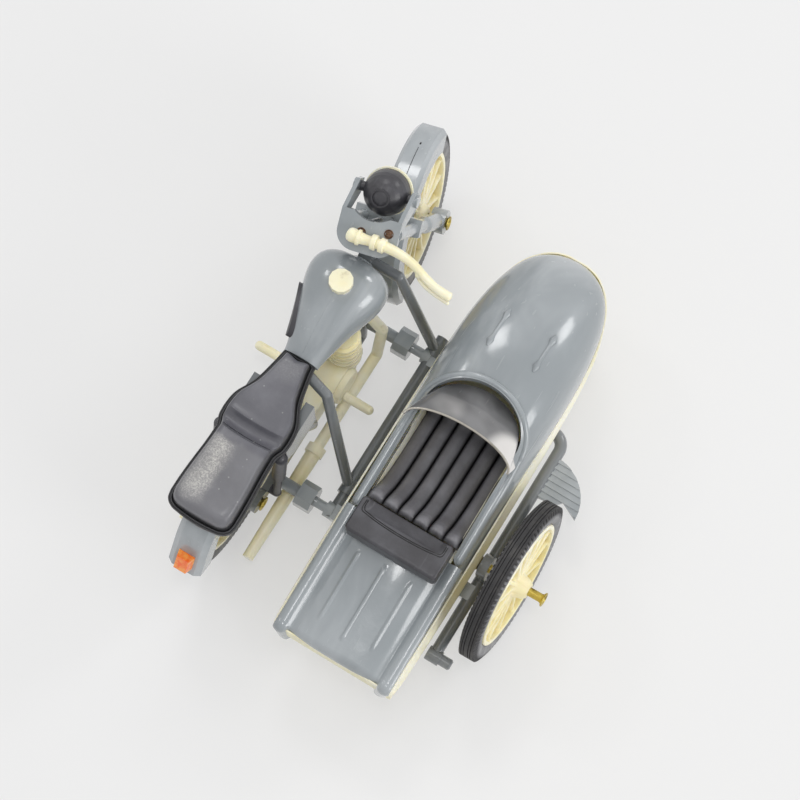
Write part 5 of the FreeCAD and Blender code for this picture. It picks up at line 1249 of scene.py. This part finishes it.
def handlebar_piece():
    """The handlebar: a tube carried along a smooth line of places with a radius at each.

    The radius swells to a ball at the broken end and to collars over the yoke, then narrows along
    the arm to the grip; a thin lever leaves a knob and lies beside the grip.
    """
    bar = np.array(BAR_LINE)
    path = smooth_line(bar[:, :3], 260)
    t = np.linspace(0, 1, len(path))
    radius = cubic(np.linspace(0, 1, len(bar)), bar[:, 3], t)
    flank, ball_share, grip_share, bar_least = 0.006, 0.045, 0.018, 0.003
    lever_radius, tip_share, lever_least = 0.5, 0.05, 0.01
    for place, width, rise in BAR_COLLARS:
        start = stepped(t, place - width - flank, place - width)
        radius = radius + rise * (start - stepped(t, place + width, place + width + flank))
    radius = radius * domed(t / ball_share, bar_least) * domed((1 - t) / grip_share, bar_least)
    lever = smooth_line(LEVER_LINE, 60)
    lever_radii = lever_radius * domed((1 - np.linspace(0, 1, len(lever))) / tip_share, lever_least)
    tubes = [tube_along(path, radius * MM, 28), tube_along(lever, lever_radii * MM, 14)]
    body = body_of("handlebar")
    surface_piece("handlebar_arm", tubes, body, "cream", 40.0, fill=True,
                  stands_for="handlebar")
    knob = lathe(np.array(KNOB_PLACE) * MM, KNOB_HEADING, KNOB_PROFILE, 28)
    surface_piece("lever_knob", [knob], body, "cream", 35.0, (True, False))


# stage
TARGET = Vector((-0.008373, 0.000472, 0.020148))
CAMERA_AZIMUTH = math.radians(31.4)
CAMERA_HEIGHT = math.radians(75.0)
CAMERA_DISTANCE = 0.65
SENSOR_WIDTH = 36.0
FOCAL_PIXELS = 2665.0
PICTURE_PIXELS = 800.0
SKY_LOW, SKY_HIGH, SKY_TOP = 0.36, 0.80, 0.9
FLOOR_REACH = 3.0
FLOOR_GLOW = 0.55
# each lamp's place and side in metres and its power in watts
LAMPS = (
    ("key", (-0.55, 0.75, 1.25), 0.34, 3.0),
    ("window", (0.62, 1.25, 0.95), 0.36, 3.2),
    ("side", (-1.00, 0.15, 1.10), 0.22, 1.2),
    ("right", (1.05, -0.05, 0.50), 0.50, 4.2),
    ("top", (0.10, -0.10, 1.60), 0.26, 2.6),
)


def pale_room():
    """A world that is paler overhead, and one plain tone to the camera, mirrors and glass."""
    world = bpy.data.worlds.new("studio")
    world.use_nodes = True
    SCENE.world = world
    sky = Shading(world.node_tree)
    upwards = sky.outputs("ShaderNodeTexCoord")["Generated"]
    height = sky.outputs("ShaderNodeSeparateXYZ", {}, (upwards,))["Z"]
    light = sky.node("ShaderNodeMapRange", {}, (height, 0.0, SKY_TOP, SKY_LOW, SKY_HIGH))
    fill = sky.node("ShaderNodeBackground", {}, (light, 1.0))
    plain = sky.node("ShaderNodeBackground", {}, (tone("backdrop"), 1.0))
    sky.shaders_mixed(sky.seen_directly(), fill, plain, "World Output")


def paper_floor():
    """A wide sheet of pale paper, evened out by a glow that only the camera, mirrors and glass see."""
    reach = FLOOR_REACH
    mesh = bpy.data.meshes.new("floor")
    mesh.from_pydata([(-reach, -reach, 0), (reach, -reach, 0), (reach, reach, 0), (-reach, reach, 0)], [],
                     [(0, 1, 2, 3)])
    paper = Finish("floor_paper", roughness=0.7)
    mesh.materials.append(paper.seen(paper.mix(paper.noise(3.0, 2.0).band(0.3, 0.7), tone("paper"),
                                               tone("paper cloud"))))
    paper.glow_for_camera(tone("backdrop"), FLOOR_GLOW)
    floor = bpy.data.objects.new("floor", mesh)
    SCENE.collection.objects.link(floor)


def aimed(name, data, place, way):
    """A lamp or camera at a place, looking one way."""
    made = bpy.data.objects.new(name, data)
    made.location = place
    made.rotation_mode = "QUATERNION"
    made.rotation_quaternion = way.to_track_quat("-Z", "Y")
    SCENE.collection.objects.link(made)
    return made


def soft_lamps():
    """Square lamps round the toy, aimed at its middle."""
    for name, place, size, power in LAMPS:
        lamp = bpy.data.lights.new(name, "AREA")
        lamp.shape = "SQUARE"
        lamp.size = size
        lamp.energy = power
        aimed(name, lamp, place, TARGET - Vector(place))


def photo_camera():
    """The photograph's camera: high over the toy, with a long lens."""
    flat = math.cos(CAMERA_HEIGHT)
    rise = math.sin(CAMERA_HEIGHT)
    back = Vector((math.sin(CAMERA_AZIMUTH) * flat, -math.cos(CAMERA_AZIMUTH) * flat, rise))
    lens = bpy.data.cameras.new("camera")
    lens.sensor_width = SENSOR_WIDTH
    lens.lens = FOCAL_PIXELS * SENSOR_WIDTH / PICTURE_PIXELS
    SCENE.camera = aimed("camera", lens, TARGET + back * CAMERA_DISTANCE, -back)
    SCENE.view_settings.view_transform = "Standard"


# sizes and colours that a user may change
def shade(name, description, default):
    """A colour that a user may change."""
    return bpy.props.FloatVectorProperty(
        name=name, description=description, subtype="COLOR_GAMMA", size=3, min=0.0, max=1.0, default=default)


def span(name, description, default):
    """A length that a user may change."""
    return bpy.props.FloatProperty(
        name=name, description=description, subtype="DISTANCE", unit="LENGTH", min=0.0, precision=5,
        default=default)


def number(name, description, default, least):
    """A count that a user may change."""
    return bpy.props.IntProperty(name=name, description=description, default=default, min=least)


class ToyColours(bpy.types.PropertyGroup):
    """Colours of the toy's plastics, as a screen shows them."""

    grey_deep: shade("Grey, deep", "Darker tone of the grey plastic", (0.546, 0.57, 0.584))
    grey_pale: shade("Grey, pale", "Paler flow streaks of the grey plastic", (0.665, 0.684, 0.698))
    grey_streak: shade("Grey, cloud", "Cloudy marks in the grey plastic", (0.62, 0.645, 0.66))
    cream_pale: shade("Cream, pale", "Ivory tone of the cream plastic", (0.985, 0.965, 0.88))
    cream_aged: shade("Cream, aged", "Yellowed tone of the cream plastic", (0.93, 0.885, 0.68))
    black_deep: shade("Black, deep", "Darkest tone of the black plastic", (0.21, 0.205, 0.22))
    black_worn: shade("Black, worn", "Worn tone of the black plastic", (0.31, 0.31, 0.33))
    rubber: shade("Rubber", "Tone of the tyres", (0.17, 0.165, 0.17))


class ToySizes(bpy.types.PropertyGroup):
    """Sizes of the toy's modelled details."""

    wheel_radius: span("Wheel radius", "From the pin to the tread", 0.0212)
    tyre_width: span("Tyre width", "Across the side walls", 0.0050)
    rim_radius: span("Rim radius", "From the pin to the tyre's seat", 0.0165)
    groove_depth: span("Groove depth", "Depth of the grooves round the tread", 0.0003)
    slot_depth: span("Slot depth", "Depth of the slots in the tyre's shoulders", 0.0006)
    shoulder_blocks: number("Shoulder blocks", "Blocks round each shoulder of a tyre", 84, 8)
    hub_half: span("Hub half width", "From a wheel's middle to the end of its hub", 0.0036)
    side_hub_half: span("Side hub half width", "The same on the sidecar's wheel", 0.0050)
    spoke_pairs: number("Spoke pairs", "Splayed pairs of spokes in a wheel", 7, 3)
    channels: number("Channels", "Gathered channels of the sidecar seat", 6, 1)
    channel_rise: span("Channel rise", "Height of a channel over its valleys", 0.0015)
    screen_wall: span("Windscreen wall", "Thickness of the windscreen", 0.0006)
    guard_radius: span("Mudguard radius", "From the front pin to the top of the mudguard", 0.0231)


# operators
class SIDECAR_OT_stage(bpy.types.Operator):
    """Pale floor, soft lamps, backdrop and the photograph's camera"""

    bl_idname = "sidecar.stage"
    bl_label = "Stage"

    def execute(self, context):
        pale_room()
        paper_floor()
        soft_lamps()
        photo_camera()
        return {"FINISHED"}


class SIDECAR_OT_finishes(bpy.types.Operator):
    """Make the toy's finishes and give each moulded part its own"""

    bl_idname = "sidecar.finishes"
    bl_label = "Finishes"

    def execute(self, context):
        FINISHES.update(
            grey=grey_plastic("grey_plastic"), tube=grey_plastic("shaded_tube_plastic", share=0.70),
            cream=cream_plastic("cream_plastic"), wheel=cream_plastic("wheel_plastic", sunk=True),
            # the tub's band has almost none of the dirt, so it stays brighter: painted light
            band=cream_plastic("lit_band_plastic", grime=0.05), black=black_plastic("black_plastic"),
            # the seat's copy: painted light lifts it, and painted shade darkens its valleys, front and cheeks
            seat=black_plastic("lit_and_shaded_seat_plastic", lift=0.20, sunk=True), saddle=saddle_plastic(),
            seam=seam_line(), tyre=tyre_rubber(), rust=rusty_steel(), edge=screen_edge(), brass=brass(),
            smoke=smoky_clear(), orange=orange_clear(), lens=lens_clear())
        slots = {"grey_plastic": "grey", "cream_plastic": "cream", "black_plastic": "black", "tyre": "tyre",
                 "brass": "brass", "smoke_clear": "smoke", "orange_clear": "orange", "lens_clear": "lens"}
        # the frame's tubes and the toolbox take the darker grey copy: painted shade
        tubes = ("chassis_tube", "strut", "frame", "toolbox")
        for part in frame["record"]["subparts"]:
            for name in [part["node"]] if "node" in part else part.get("nodes", []):
                key = "tube" if name.startswith(tubes) else slots[part["material_slot"]]
                materials = NODES[name].data.materials
                materials.clear()
                materials.append(FINISHES[key])
        return {"FINISHED"}


class SIDECAR_OT_tyres(bpy.types.Operator):
    """Three ribbed tyres with slotted shoulders"""

    bl_idname = "sidecar.tyres"
    bl_label = "Tyres"

    def execute(self, context):
        for place in WHEELS:
            tyre_piece(place)
        return {"FINISHED"}


class SIDECAR_OT_wheels(bpy.types.Operator):
    """Three cast wheels with splayed pairs of spokes"""

    bl_idname = "sidecar.wheels"
    bl_label = "Wheels"

    def execute(self, context):
        sizes = context.scene.toy_sizes
        for place in WHEELS:
            rim_piece(place, sizes.side_hub_half if place == "side" else sizes.hub_half)
        return {"FINISHED"}


class SIDECAR_OT_seats(bpy.types.Operator):
    """The saddle, the channelled sidecar seat and its back pad"""

    bl_idname = "sidecar.seats"
    bl_label = "Seats"

    def execute(self, context):
        saddle_piece()
        cushion_piece()
        back_pad_piece()
        return {"FINISHED"}


class SIDECAR_OT_rivets(bpy.types.Operator):
    """The hollow brass rivets that the wheels turn on"""

    bl_idname = "sidecar.rivets"
    bl_label = "Rivets"

    def execute(self, context):
        for place in WHEELS:
            rivet_piece(place)
        return {"FINISHED"}


class SIDECAR_OT_windscreen(bpy.types.Operator):
    """The smoky windscreen with its pale edge"""

    bl_idname = "sidecar.windscreen"
    bl_label = "Windscreen"

    def execute(self, context):
        windscreen_piece()
        return {"FINISHED"}


class SIDECAR_OT_forms(bpy.types.Operator):
    """The rear deck, the cockpit's lip, the tub's band and the handlebar"""

    bl_idname = "sidecar.forms"
    bl_label = "Deck, lip, band and handlebar"

    def execute(self, context):
        deck_piece()
        cockpit_lip_piece()
        tub_band_piece()
        handlebar_piece()
        return {"FINISHED"}


class SIDECAR_OT_seams(bpy.types.Operator):
    """Seams of the mudguard and tank, and the yoke's screws"""

    bl_idname = "sidecar.seams"
    bl_label = "Seams and screws"

    def execute(self, context):
        guard_seam_piece()
        tank_seam_piece()
        screw_pieces()
        return {"FINISHED"}


class SIDECAR_PT_panel(bpy.types.Panel):
    """Lists the steps that make the toy, its sizes and its colours"""

    bl_idname = "SIDECAR_PT_panel"
    bl_label = "Sidecar"
    bl_space_type = "VIEW_3D"
    bl_region_type = "UI"
    bl_category = "Sidecar"

    def draw(self, context):
        for step in STEPS:
            self.layout.operator(step.bl_idname)
        for group in (context.scene.toy_sizes, context.scene.toy_colours):
            for name in group.bl_rna.properties.keys():
                if name not in ("rna_type", "name"):
                    self.layout.prop(group, name)


STEPS = (SIDECAR_OT_stage, SIDECAR_OT_finishes, SIDECAR_OT_tyres, SIDECAR_OT_wheels, SIDECAR_OT_seats,
         SIDECAR_OT_rivets, SIDECAR_OT_windscreen, SIDECAR_OT_forms, SIDECAR_OT_seams)
CLASSES = (ToyColours, ToySizes, SIDECAR_PT_panel, *STEPS)


def register():
    for cls in CLASSES:
        bpy.utils.register_class(cls)
    bpy.types.Scene.toy_colours = bpy.props.PointerProperty(type=ToyColours)
    bpy.types.Scene.toy_sizes = bpy.props.PointerProperty(type=ToySizes)


def unregister():
    del bpy.types.Scene.toy_sizes
    del bpy.types.Scene.toy_colours
    for cls in reversed(CLASSES):
        bpy.utils.unregister_class(cls)


def main():
    register()
    for step in STEPS:
        group, action = step.bl_idname.split(".")
        getattr(getattr(bpy.ops, group), action)()


if __name__ == "__main__":
    main()
